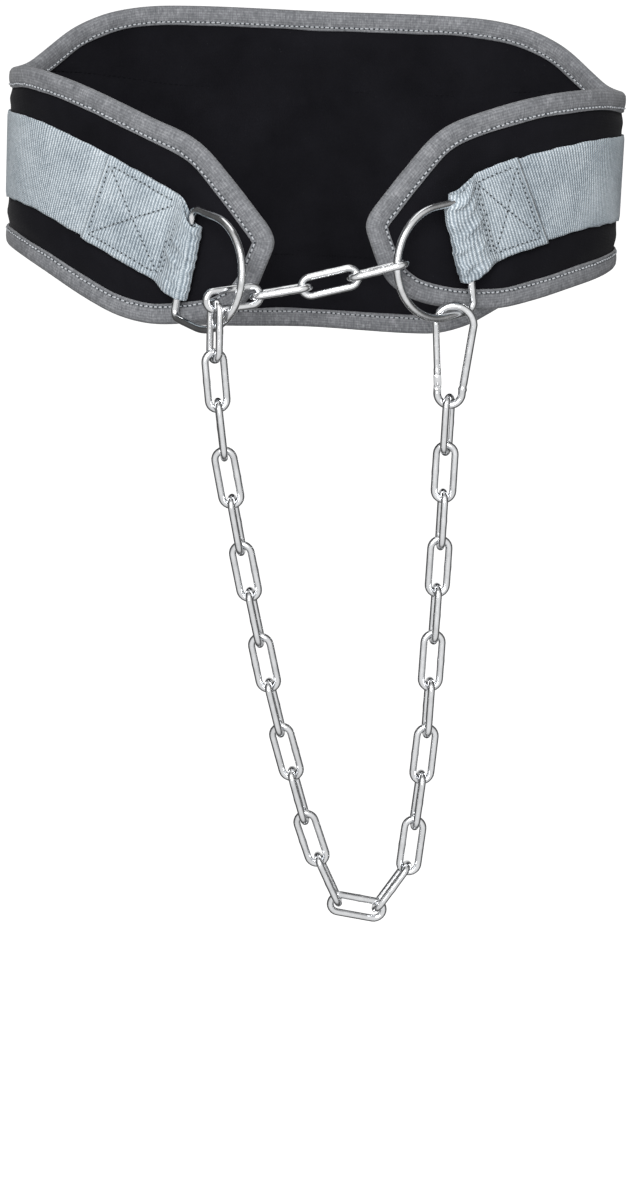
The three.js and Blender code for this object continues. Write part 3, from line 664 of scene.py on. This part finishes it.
def dashes(name, rows, radius, mat):
    """Rows of thread stitches, each (start, end, outward) in metres. The radius is in millimetres."""
    verts, faces = [], []
    radius *= MM
    shape = [(0.0, -0.35, 0.55), (0.12, 0.35, 0.95), (0.5, 0.75, 1.0), (0.88, 0.35, 0.95), (1.0, -0.35, 0.55)]
    sides = 6
    for start, end, out in rows:
        axis = (end - start).normalized()
        side = axis.cross(out).normalized()
        base = len(verts)
        for t, lift, fat in shape:
            centre = start.lerp(end, t) + out * (radius * lift)
            for k in range(sides):
                a = 2 * math.pi * k / sides
                verts.append(centre + (side * math.cos(a) + out * math.sin(a)) * (radius * fat))
        for i in range(len(shape) - 1):
            for k in range(sides):
                a = base + i * sides + k
                b = base + i * sides + (k + 1) % sides
                faces.append([a, b, b + sides, a + sides])
        faces.append([base + k for k in range(sides)][::-1])
        end_base = base + (len(shape) - 1) * sides
        faces.append([end_base + k for k in range(sides)])
    finish_piece(outwards(new_mesh(name, verts, faces)), mat)


def stitched_line(points, outs, pitch, length, seed=3, jitter=0.12):
    """Dashes at an even pitch along points in metres, lying along the line. The rest is in millimetres."""
    rng = np.random.default_rng(seed)
    pitch, length, jitter = pitch * MM, length * MM, jitter * MM
    pts = np.array([tuple(p) for p in points])
    nor = np.array([tuple(o) for o in outs])
    run = np.r_[0, np.cumsum(np.linalg.norm(np.diff(pts, axis=0), axis=1))]

    def sample(table, at):
        return Vector([np.interp(at, run, table[:, k]) for k in range(3)])

    rows = []
    at = pitch * 0.5
    while at + length < run[-1]:
        a, b = at + rng.normal(0, jitter * 0.6), at + length + rng.normal(0, jitter)
        p, q, n = sample(pts, a), sample(pts, b), sample(nor, a).normalized()
        sway = (q - p).cross(n).normalized() * rng.normal(0, jitter)
        rows.append((p + sway, q + sway * rng.uniform(-1, 1), n))
        at += pitch
    return rows


def painted_hole_shade_rows(rows, length, deep):
    """Painted shade: dark dashes in the gaps between stitches, each from the end of one towards the next, in
    millimetres.
    """
    shade_dashes = []
    for start, end, out in rows:
        begin = end - out * deep * MM
        shade_dashes.append((begin, begin + (end - start).normalized() * length * MM, out))
    return shade_dashes


def sewn_at(s, z, n, away):
    """A point in metres and the outward direction there."""
    p = Vector(place_many(s, z, n))
    return p, (Vector(place_many(s, z, n + away)) - p).normalized()


def binding_stitches():
    rows = []
    depth = BINDING_LEG - 1.85
    loop = [*(RIM + RIM_IN * depth), RIM[0] + RIM_IN[0] * depth]
    for face in (1, -1):
        points, outs = zip(*(sewn_at(s, z, face * (TAPE_OUTER + 0.05), face) for s, z in loop))
        rows += stitched_line(points, outs, pitch=3.15, length=2.2, seed=31 + face, jitter=0.2)
    dashes("binding_stitches", rows, 0.50, THREAD_LIGHT)
    # Painted shade: dark dashes in each needle hole between the binding's stitches.
    shade_dashes = painted_hole_shade_rows(rows, length=1.0, deep=0.25)
    dashes("binding_painted_hole_shade", shade_dashes, 0.52, SHADE_IN_NEEDLE_HOLE)


binding_stitches()


# Webbing strap: along the outer face, round each ring's bar and back on itself.

STRAP_BASE = WALL / 2 + GAP + STRAP_THICK / 2
LOOP_RADIUS = RING_WIRE + GAP + 0.05 + STRAP_THICK / 2
RING_LIFT = STRAP_BASE + LOOP_RADIUS + RING_STAND
SECOND_LAYER = STRAP_BASE + STRAP_THICK + STRAP_LAYER_GAP
SETTLE_FROM = 3.0
SETTLE = 14.0
STRAP_ACROSS = 41
SEWN_ANGLE = 80
FOLD_STEPS = 14


def ring_place(ring):
    side = ring["side"]
    return flat(side, ring["share"], ring["z"] + (LEFT_DROOP if side < 0 else 0))


def ring_axes(ring):
    """Directions at the ring's bar: along the belt, up, and away from it."""
    s, z = ring_place(ring)
    ahead = (place(s + ring["side"], z, RING_LIFT) - place(s - ring["side"], z, RING_LIFT)).normalized()
    away = (place(s, z, RING_LIFT + 1) - place(s, z, RING_LIFT)).normalized()
    return ahead, Vector((0, 0, 1)), away


def ring_frame(ring):
    """The bar's middle, and the directions along the bar and out to the arc."""
    ahead, up, away = ring_axes(ring)
    lean, swing = ring["lean"] * DEG, ring["swing"] * DEG
    bar = ahead * math.sin(lean) + up * math.cos(lean)
    out = ahead * math.cos(lean) - up * math.sin(lean)
    return place(*ring_place(ring), RING_LIFT), bar, out * math.cos(swing) + away * math.sin(swing)


def ring_points(ring):
    """The ring's closed wire in millimetres: the arc, then both corners with the straights beside them."""
    origin, bar, out = ring_frame(ring)
    r, corner = RING_HALF_HEIGHT, RING_CORNER
    centre = RING_DEPTH - r
    path = [(centre + r * math.cos(a), r * math.sin(a)) for a in angles(90, -90, 48)]
    path += [(lerp(centre, corner, i / 6), -r) for i in range(1, 6)]
    path += [(corner * (1 - math.sin(a)), corner - r - corner * math.cos(a)) for a in angles(0, 90, 9)]
    path += [(0.0, lerp(corner - r, r - corner, i / 14)) for i in range(1, 14)]
    path += [(corner * (1 - math.sin(a)), r - corner + corner * math.cos(a)) for a in angles(90, 0, 9)]
    path += [(lerp(corner, centre, i / 6), r) for i in range(1, 6)]
    return [origin + out * o + bar * u for o, u in path]


def strap_setup(ring):
    """Where the sewn-back end stops, where the bar is, and the strap's section at any length along it."""
    side = ring["side"]
    bar_s, bar_z = ring_place(ring)
    end = abs(bar_s)
    fold_end = abs(flat(side, STRAP_FOLD_SHARE, 0)[0])
    lean, at_bar = ring["lean"] * DEG, ring["tilt"] * DEG
    bar_at = end + ring["rise"] * math.sin(lean)
    bar_height = bar_z + ring["rise"] * math.cos(lean)
    narrow_from = bar_at - STRAP_NARROW

    def usual_at(s):
        share = s / HALF_LENGTH
        for _ in range(8):
            share += (s - abs(flat(side, share, 0)[0])) / HALF_LENGTH
        return flat(side, share, along(STRAP_CENTRE, share))[1]

    def station(s, n, angle):
        near = smooth((s - narrow_from) / (STRAP_NARROW + ring["slack"]))
        usual = usual_at(s)
        slope = math.atan((usual - usual_at(s + 2)) / 2)
        low = lerp(STRAP_WIDTH, ring["loop"], near) / 2
        return dict(
            s=s, n=n, angle=angle, near=near, side=side, low=low, high=low + ring["shoulder"] * near,
            z=lerp(usual, bar_height - (s - end) * math.tan(at_bar), near),
            tilt=lerp(min(slope, STRAP_TILT * DEG), at_bar, near))

    return fold_end, bar_at, station


def second_layer(s, bar_at):
    t = (bar_at - s) / SETTLE
    if t > 1:
        return SECOND_LAYER
    drop = smooth((t * SETTLE - SETTLE_FROM) / (SETTLE - SETTLE_FROM))
    return lerp(RING_LIFT + LOOP_RADIUS, SECOND_LAYER, drop)


def leaned(ring, s, b, fold_end, bar_at):
    """How far along the strap its sewn-back end is set askew, across the strap."""
    return b * math.tan(ring["weave"] * DEG) * clamp01((bar_at - s) / (bar_at - fold_end))


def strap_stations(ring):
    """Stations of one half, from the belt's middle to the ring's bar, round it and back."""
    fold_end, bar_at, station = strap_setup(ring)
    stations = []
    s = 0.0
    while s <= bar_at + ring["slack"] - 2:
        rise = RING_STAND * smooth((s - bar_at + 30) / 22)
        stations.append(station(s, STRAP_BASE + rise, -90))
        s += 4.0 if s < fold_end - 8 else 2.0
    for i in range(FOLD_STEPS + 1):
        angle = -90 + 180 * i / FOLD_STEPS
        s = bar_at + ring["slack"] + LOOP_RADIUS * math.cos(angle * DEG)
        stations.append(station(s, RING_LIFT + LOOP_RADIUS * math.sin(angle * DEG), angle))
    back = int((bar_at - fold_end) / 2)
    for i in range(1, back + 1):
        s = lerp(bar_at + ring["slack"] - 2, fold_end, i / back)
        stations.append(station(s, second_layer(s, bar_at), 90))
    return stations


def end_shift(ring, u, near):
    """How far the fold is set back at its upper corner, and in and out along its crumpled edge."""
    ragged = 0.55 * float(wave(u * 24.0, 3.0, 63 + ring["side"], 17.0) + wave(u * 24.0, 5.0, 66, 7.0))
    return near * (ring["skew"] * (u + 1) / 2 - ring["corner"] * smooth((u - 0.66) / 0.34) + ragged)


def crumple(ring, s, b, bar_at):
    """Small folds of the gathered end, in millimetres outwards."""
    close = smooth((s - (bar_at - 17)) / 16)
    broad = float(wave(s * 0.8, b * 1.9, ring["seed"], 21.0))
    small = float(wave(s * 1.1, b * 1.6, 52, 8.0))
    return close * ring["folds"] * max(0.0, broad + 0.7 * small)


def wire_rows(ring):
    """The ring's wire as rows of (ahead, up, away) from the bar's middle."""
    origin, axes = ring_frame(ring)[0], ring_axes(ring)
    return origin, axes, np.array([[(q - origin).dot(axis) for axis in axes] for q in ring_points(ring)])


def tented(point, origin, axes, rows):
    """How far cloth at a point in millimetres is held off by the wire below it."""
    ahead, up, away = ((point - origin).dot(axis) for axis in axes)
    gap = np.hypot(rows[:, 0] - ahead, rows[:, 1] - up)
    held = rows[:, 2] + RING_WIRE + STRAP_THICK / 2 + 0.15 - 0.45 * np.maximum(0.0, gap - 0.8)
    return max(0.0, float(held.max()) - away)


def box_lines(ring):
    """Stitched lines of the folded end, as pairs of (length, across) points."""
    fold_end, bar_at, _ = strap_setup(ring)
    near, far = fold_end + 3.5, bar_at - 11.5
    wide = STRAP_WIDTH / 2 - 4.5
    box = [(near, -wide), (near, wide), (far, wide), (far, -wide), (near, -wide)]
    lines = list(zip(box, box[1:])) + [((near, -wide), (far, wide)), ((near, wide), (far, -wide))]
    return lines + [((far + 2.6, -wide), (far + 2.6, wide))]


def groove_at(lines, s, b):
    """Depth, in millimetres, of the stitched lines' dents at a place on the strap."""
    depth = 0.0
    for (s0, b0), (s1, b1) in lines:
        ds, db = s1 - s0, b1 - b0
        t = clamp01(((s - s0) * ds + (b - b0) * db) / (ds * ds + db * db))
        gap = math.hypot(s - s0 - ds * t, b - b0 - db * t)
        depth = max(depth, 0.5 * math.exp(-(gap / 1.5) ** 2))
    return depth


def strap_path():
    """Stations of the whole strap, from its left sewn-back end to its right one."""
    stations = []
    for ring in RINGS.values():
        fold_end, bar_at, _ = strap_setup(ring)
        lines, wire = box_lines(ring), wire_rows(ring)
        own = strap_stations(ring)
        for p in own:
            p.update(ring=ring, bar=bar_at, fold=fold_end, lines=lines, wire=wire)
        stations = own[1:][::-1] if ring["side"] < 0 else stations + own
    return stations


def strap():
    stations = strap_path()
    verts, uv = [], []
    travelled = 0.0
    before = stations[0]
    for p in stations:
        ring, side, sewn = p["ring"], p["side"], p["angle"] > SEWN_ANGLE
        travelled += math.hypot(side * p["s"] - before["side"] * before["s"], p["n"] - before["n"])
        before = p
        forth, off = math.cos(p["angle"] * DEG), math.sin(p["angle"] * DEG)
        askew = math.tan(0.7 * ring["weave"] * DEG) * smooth((p["s"] - p["fold"] + 70) / 70)
        turned = min(0.0, off) * side * askew
        cells = []
        for k in range(STRAP_ACROSS):
            u = 2 * k / (STRAP_ACROSS - 1) - 1
            b = u * (p["high"] if u > 0 else p["low"])
            s = p["s"] + b * math.sin(p["tilt"]) + end_shift(ring, u, p["near"])
            z = p["z"] + b * math.cos(p["tilt"])
            lift = crumple(ring, p["s"], b, p["bar"]) if p["angle"] > 0 else 0.0
            if sewn:
                s += leaned(ring, p["s"], b, p["fold"], p["bar"])
                lift = max(lift, tented(place(side * s, z, p["n"]), *p["wire"]))
            if abs(u) > 0.99:
                z += 0.35 * float(wave(side * p["s"], 31.0 * k, 7, 13.0))
            cells.append((u, b, s, z, lift))
        for layer, row in ((1, cells), (-1, cells[::-1])):
            for u, b, s, z, lift in row:
                half = layer * STRAP_THICK / 2 * (1 - 0.5 * max(0.0, abs(u) - 0.9) / 0.1)
                sunk = groove_at(p["lines"], p["s"], u * STRAP_WIDTH / 2) if sewn and layer > 0 else 0.0
                verts.append(place_many(side * (s + forth * half), z, p["n"] + off * half + lift - sunk))
                uv.append((travelled + turned * b, u * STRAP_WIDTH / 2))
    count = 2 * STRAP_ACROSS
    faces = grid_faces(len(stations), count, False, True)
    faces += [list(range(count))[::-1], [(len(stations) - 1) * count + k for k in range(count)]]
    obj = outwards(new_mesh("strap", np.array(verts), faces, uv))
    finish_piece(obj, WEBBING, ["webbing_strap"])


strap()


def on_strap(ring, s, b):
    """A point and outward direction just under the face of the strap's outermost layer."""
    fold_end, bar_at, station = strap_setup(ring)
    n = STRAP_BASE if s < fold_end else second_layer(s, bar_at)
    p = station(s, n, 90)
    b *= 2 * p["low"] / STRAP_WIDTH
    s += leaned(ring, s, b, fold_end, bar_at)
    s, z = p["side"] * (s + b * math.sin(p["tilt"])), p["z"] + b * math.cos(p["tilt"])
    return sewn_at(s, z, n + STRAP_THICK / 2 - 0.30, 1)


def strap_stitches():
    rows = []
    for ring in RINGS.values():
        for k, ((s0, b0), (s1, b1)) in enumerate(box_lines(ring)):
            line = [on_strap(ring, lerp(s0, s1, i / 24), lerp(b0, b1, i / 24)) for i in range(25)]
            rows += stitched_line(*zip(*line), pitch=3.1, length=2.0, seed=60 + k, jitter=0.2)
    dashes("strap_stitches", rows, 0.36, THREAD_GREY)
    # Painted shade: dark dashes in each needle hole between the strap's stitches.
    dashes("strap_painted_hole_shade", painted_hole_shade_rows(rows, length=1.1, deep=0.0), 0.43, SHADE_IN_NEEDLE_HOLE)


strap_stitches()


# Rings: one bent wire with its butt joint hidden on the bar.

for ring_name, ring in RINGS.items():
    points = [p * MM for p in ring_points(ring)]
    wire_obj = tube("ring_wire_" + ring_name, points, RING_WIRE * MM, 20, closed=True)
    finish_piece(wire_obj, STEEL, ["d_ring_" + ring_name])


# Chain: each link is bent from round wire and welded at one side, on the solid's own place.

LINK_WIRE = 2.05
LINK_HALF = 27.4 / 2 + LINK_WIRE + 0.35 / 2
LINK_END = 14.7 / 2 - LINK_WIRE


def link_basis(solid):
    """Middle, length and width directions of a link from its solid's own vertices."""
    co = np.array([tuple(v.co) for v in solid.data.vertices])
    lo, hi = co.min(0), co.max(0)
    middle = co.mean(0)
    _, vectors = np.linalg.eigh(np.cov((co - middle).T))
    axis, across = vectors[:, 2], vectors[:, 1]
    span = (co - middle) @ axis
    middle = middle + axis * (span.max() + span.min()) / 2
    return Vector(middle), Vector(axis), Vector(across)


def link_piece(index):
    solid = frame["nodes"]["chain_link_%02d" % index]
    middle, axis, across = link_basis(solid)
    rng = np.random.default_rng(500 + index)
    straight = LINK_HALF - LINK_END
    weld = 1 if rng.random() < 0.5 else -1
    path, radii = [], []
    for sign in (1, -1):
        for a in angles(-90, 90, 12):
            path.append((sign * (straight + LINK_END * math.cos(a)), sign * LINK_END * math.sin(a)))
            radii.append(LINK_WIRE)
        for i in range(1, 8):
            x = lerp(straight, -straight, i / 8) * sign
            swell = 0.16 * math.exp(-(x / 1.6) ** 2) if sign == weld else 0.0
            path.append((x, sign * LINK_END))
            radii.append(LINK_WIRE + swell)
    points = [middle + (axis * x + across * y) * MM for x, y in path]
    obj = tube("link_%02d" % index, points, [r * MM for r in radii], 14, closed=True)
    finish_piece(obj, STEEL, [solid.name])


for number in range(1, 30):
    link_piece(number)


# Snap hook: body wire, sprung gate and rivet, hanging on the right ring.

HOOK_WIRE = 2.25
HOOK_TOP_RADIUS = 11.2
HOOK_LOW_RADIUS = 7.0
HOOK_LENGTH = 56.5
HOOK_NOSE = 158
HOOK_HINGE_RISE = 12.0
HOOK_GATE = 2.1
HOOK_GATE_GAP = 1.25
HOOK_TANG = 2.0
HOOK_FORK_GAP = 0.35
HOOK_LEAN = -0.5
HOOK_ALONG_RING = 14.5

ring_origin, ring_bar, ring_out = ring_frame(RINGS["right"])
hook_top = ring_origin + ring_out * HOOK_ALONG_RING - ring_bar * RING_HALF_HEIGHT
hook_top = hook_top + Vector((0, 0, RING_WIRE + HOOK_WIRE + GAP + 0.3))
LOW_CENTRE = (HOOK_LEAN, HOOK_LOW_RADIUS - HOOK_LENGTH)
HINGE = (LOW_CENTRE[0] - HOOK_LOW_RADIUS, LOW_CENTRE[1] + HOOK_HINGE_RISE - 7)


def hook_at(x, z, y=0.0):
    return (hook_top + Vector((x, y, z))) * MM


def arc_at(centre, radius, angle):
    return centre[0] + radius * math.cos(angle * DEG), centre[1] + radius * math.sin(angle * DEG)


NOSE = arc_at((0, -HOOK_TOP_RADIUS), HOOK_TOP_RADIUS, HOOK_NOSE)


def hook_body():
    path, radii = [], []
    for i in range(37):
        path.append(arc_at((0, -HOOK_TOP_RADIUS), HOOK_TOP_RADIUS, lerp(HOOK_NOSE, 4, i / 36)))
        radii.append(HOOK_WIRE * (0.30, 0.62, 0.84, 0.96)[i] if i < 4 else HOOK_WIRE)
    top, low = path[-1], arc_at(LOW_CENTRE, HOOK_LOW_RADIUS, 4)
    for i in range(1, 40):
        t = i / 40
        path.append((lerp(top[0], low[0], t), lerp(top[1], low[1], t)))
        collar = math.exp(-((t - 0.955) / 0.018) ** 2) * 0.42 - math.exp(-((t - 0.905) / 0.014) ** 2) * 0.22
        radii.append(HOOK_WIRE + collar)
    for i in range(31):
        path.append(arc_at(LOW_CENTRE, HOOK_LOW_RADIUS, lerp(4, -176, i / 30)))
        radii.append(HOOK_WIRE)
    end = HINGE[1]
    start = path[-1][1]
    for i in range(1, 9):
        path.append((HINGE[0], lerp(start, end, i / 8)))
        radii.append(lerp(HOOK_WIRE, HOOK_GATE, i / 8))
    for rise, radius in ((0.7, 1.96), (1.35, 1.56), (1.8, 0.95), (2.05, 0.30)):
        path.append((HINGE[0], end + rise))
        radii.append(radius)
    obj = tube("hook_body", [hook_at(*p) for p in path], [r * MM for r in radii], 20)
    middle = hook_top.y * MM
    low_z, high_z, end_z = (hook_at(0, HINGE[1] + rise).z for rise in (-4.6, -2.6, 3))
    for v in obj.data.vertices:
        if v.co.x < hook_at(LOW_CENTRE[0], 0).x and low_z < v.co.z < end_z:
            thin = lerp(1.0, HOOK_TANG / 2 / HOOK_WIRE, smooth((v.co.z - low_z) / (high_z - low_z)))
            v.co.y = middle + (v.co.y - middle) * thin
    finish_piece(obj, STEEL, ["snap_hook_body"])


def hook_gate():
    low, high = Vector((HINGE[0], 0, HINGE[1])), Vector((NOSE[0], 0, NOSE[1]))
    axis = (high - low).normalized()
    reach = (high - low).length - HOOK_GATE_GAP
    verts, faces = [], []

    def add(part):
        base = len(verts)
        verts.extend(tuple(v.co) for v in part.data.vertices)
        faces.extend([i + base for i in p.vertices] for p in part.data.polygons)
        bpy.data.objects.remove(part)

    marks = [
        (4.3, 0.75), (4.5, 1.6), (5.0, 2.0), (6.0, 2.1), (8.4, 2.1), (8.7, 1.98), (9.2, 1.93),
        (reach * 0.6, 1.93), (reach - 2.6, 1.93), (reach - 1.3, 1.86), (reach - 0.5, 1.6), (reach, 1.0),
    ]
    points = [low + axis * d for d, _ in marks]
    add(tube("rod", [hook_at(p.x, p.z) for p in points], [r * MM for _, r in marks], 20))
    inner = HOOK_TANG / 2 + HOOK_FORK_GAP
    outer = HOOK_GATE * 0.97
    across = Vector((axis.z, 0, -axis.x))
    sides = [(2.0, 2.1), (4.0, 2.1), (5.6, 1.9), (5.6, -1.9), (4.0, -2.1), (2.0, -2.1)]
    for face in (1, -1):
        outline = [
            low + (across * math.cos(a) + axis * math.sin(a)) * HOOK_GATE for a in angles(180, 360, 16)]
        outline += [low + axis * d + across * half for d, half in sides]
        centre = low + axis * 1.6
        base, count = len(verts), len(outline)
        for y, shrink in ((inner, 1.0), (outer - 0.22, 1.0), (outer, 0.88)):
            for p in outline:
                q = centre.lerp(p, shrink)
                verts.append(tuple(hook_at(q.x, q.z, y * face)))
        faces.extend(grid_faces(3, count, close_cols=True, offset=base))
        faces.append([base + i for i in range(count)][::-1])
        faces.append([base + 2 * count + i for i in range(count)])
    obj = outwards(new_mesh("hook_gate", verts, faces))
    finish_piece(obj, STEEL, ["snap_hook_gate"], body=GATE)


def hook_pin():
    half = HOOK_GATE * 0.97 + 0.5
    head = [(half, 0.25), (half - 0.08, 0.62), (half - 0.25, 0.86), (half - 0.5, 0.9)]
    marks = [(-y, r) for y, r in head] + [(0, 0.86)] + head[::-1]
    points = [hook_at(HINGE[0], HINGE[1], y) for y, _ in marks]
    obj = tube("hook_pin", points, [r * MM for _, r in marks], 16)
    finish_piece(obj, STEEL_DULL, ["snap_hook_pin"])


hook_body()
hook_gate()
hook_pin()


# Seams sewn through the padding across the back, seen on the inner face.

BACK_SEAM_OFF = 2.35


def back_seams():
    rows = []
    ends = 0.46 * HALF_LENGTH
    lengths = np.arange(-ends, ends, 4.0)
    for k, table in enumerate((CENTRE_SEAM_HIGH, CENTRE_SEAM_LOW)):
        heights = [along(table, min(0.5, abs(s) / HALF_LENGTH)) for s in lengths]
        line = [sewn_at(s, z, -BACK_SEAM_OFF, -1) for s, z in zip(lengths, heights)]
        rows += stitched_line(*zip(*line), pitch=3.4, length=2.3, seed=90 + k)
    dashes("back_seam_stitches", rows, 0.24, THREAD_BLACK)


back_seams()


# Floor, light and camera.

FLOOR_Z = -0.95
FLOOR_HALF = 200.0
CAMERA_PLACE = (-5.267, -1500.0, 131.127)
CAMERA_ROLL = 2.3
CAMERA_PITCH = 9.312
CAMERA_LENS = 75.6
CAMERA_SHIFT = -0.2


def floor():
    """A plain pale floor, out of the metal's and the cloth's light so that the room alone shapes it."""
    g = Surface("pale_floor", Roughness=0.9, Emission_Color=(1, 1, 1, 1), Emission_Strength=0.97)
    mat = g.feed(Base_Color=g.ramp(g.noise(1.5, 2.0), [(0.3, 0.30), (0.7, 0.36)]))
    corners = [(-1, -1), (1, -1), (1, 1), (-1, 1)]
    obj = new_mesh("floor", [(x * FLOOR_HALF, y * FLOOR_HALF, FLOOR_Z) for x, y in corners], [[0, 1, 2, 3]])
    obj.data.materials.append(mat)
    obj.visible_glossy = False
    obj.visible_diffuse = False


def world():
    """A white backdrop, and for the light a room bright in front and behind and dark at the sides."""
    made = bpy.data.worlds.new("studio")
    made.use_nodes = True
    bpy.context.scene.world = made
    g = Graph(made.node_tree)
    forward = g.split(g.coords.outputs["Generated"])[1]
    depth = g.math("ADD", g.math("MULTIPLY", forward, 0.5), 0.5)
    room = g.ramp(depth, [
        (0.0, 0.54), (0.25, 0.45), (0.44, 0.08), (0.74, 0.03), (0.90, 0.08), (0.965, 0.40), (1.0, 0.50)])
    seen = g.add("LightPath").outputs["Is Camera Ray"]
    back = g.nodes["Background"]
    g.put(g.mix(seen, room, (0.63, 0.63, 0.63, 1)), back.inputs["Color"])
    back.inputs["Strength"].default_value = 1.6


def area(name, location, target, size, power):
    light = bpy.data.lights.new(name, "AREA")
    light.shape = "RECTANGLE"
    light.size, light.size_y = size
    light.energy = power
    obj = bpy.data.objects.new(name, light)
    obj.location = location
    obj.rotation_euler = (Vector(target) - Vector(location)).to_track_quat("-Z", "Y").to_euler()
    bpy.context.scene.collection.objects.link(obj)


def camera():
    roll, pitch = CAMERA_ROLL * DEG, CAMERA_PITCH * DEG
    c, s = math.cos(roll), math.sin(roll)
    right = Vector((c, 0, s))
    ahead = Vector((s * math.sin(pitch), math.cos(pitch), -c * math.sin(pitch)))
    up = right.cross(ahead)
    data = bpy.data.cameras.new("camera")
    data.lens = CAMERA_LENS
    data.sensor_width = 36
    data.shift_y = CAMERA_SHIFT
    obj = bpy.data.objects.new("camera", data)
    turn = Matrix((right, up, -ahead)).transposed()
    obj.matrix_world = Matrix.Translation(Vector(CAMERA_PLACE) * MM) @ turn.to_4x4()
    bpy.context.scene.collection.objects.link(obj)
    bpy.context.scene.camera = obj


floor()
world()
area("key", (-0.32, -2.1, 0.8), (0, 0, -0.1), (0.9, 1.6), 46)
area("over", (-0.2, 0.2, 2.0), (0, 0, -0.1), (1.6, 1.2), 7)
camera()
bpy.context.scene.view_settings.view_transform = "Standard"
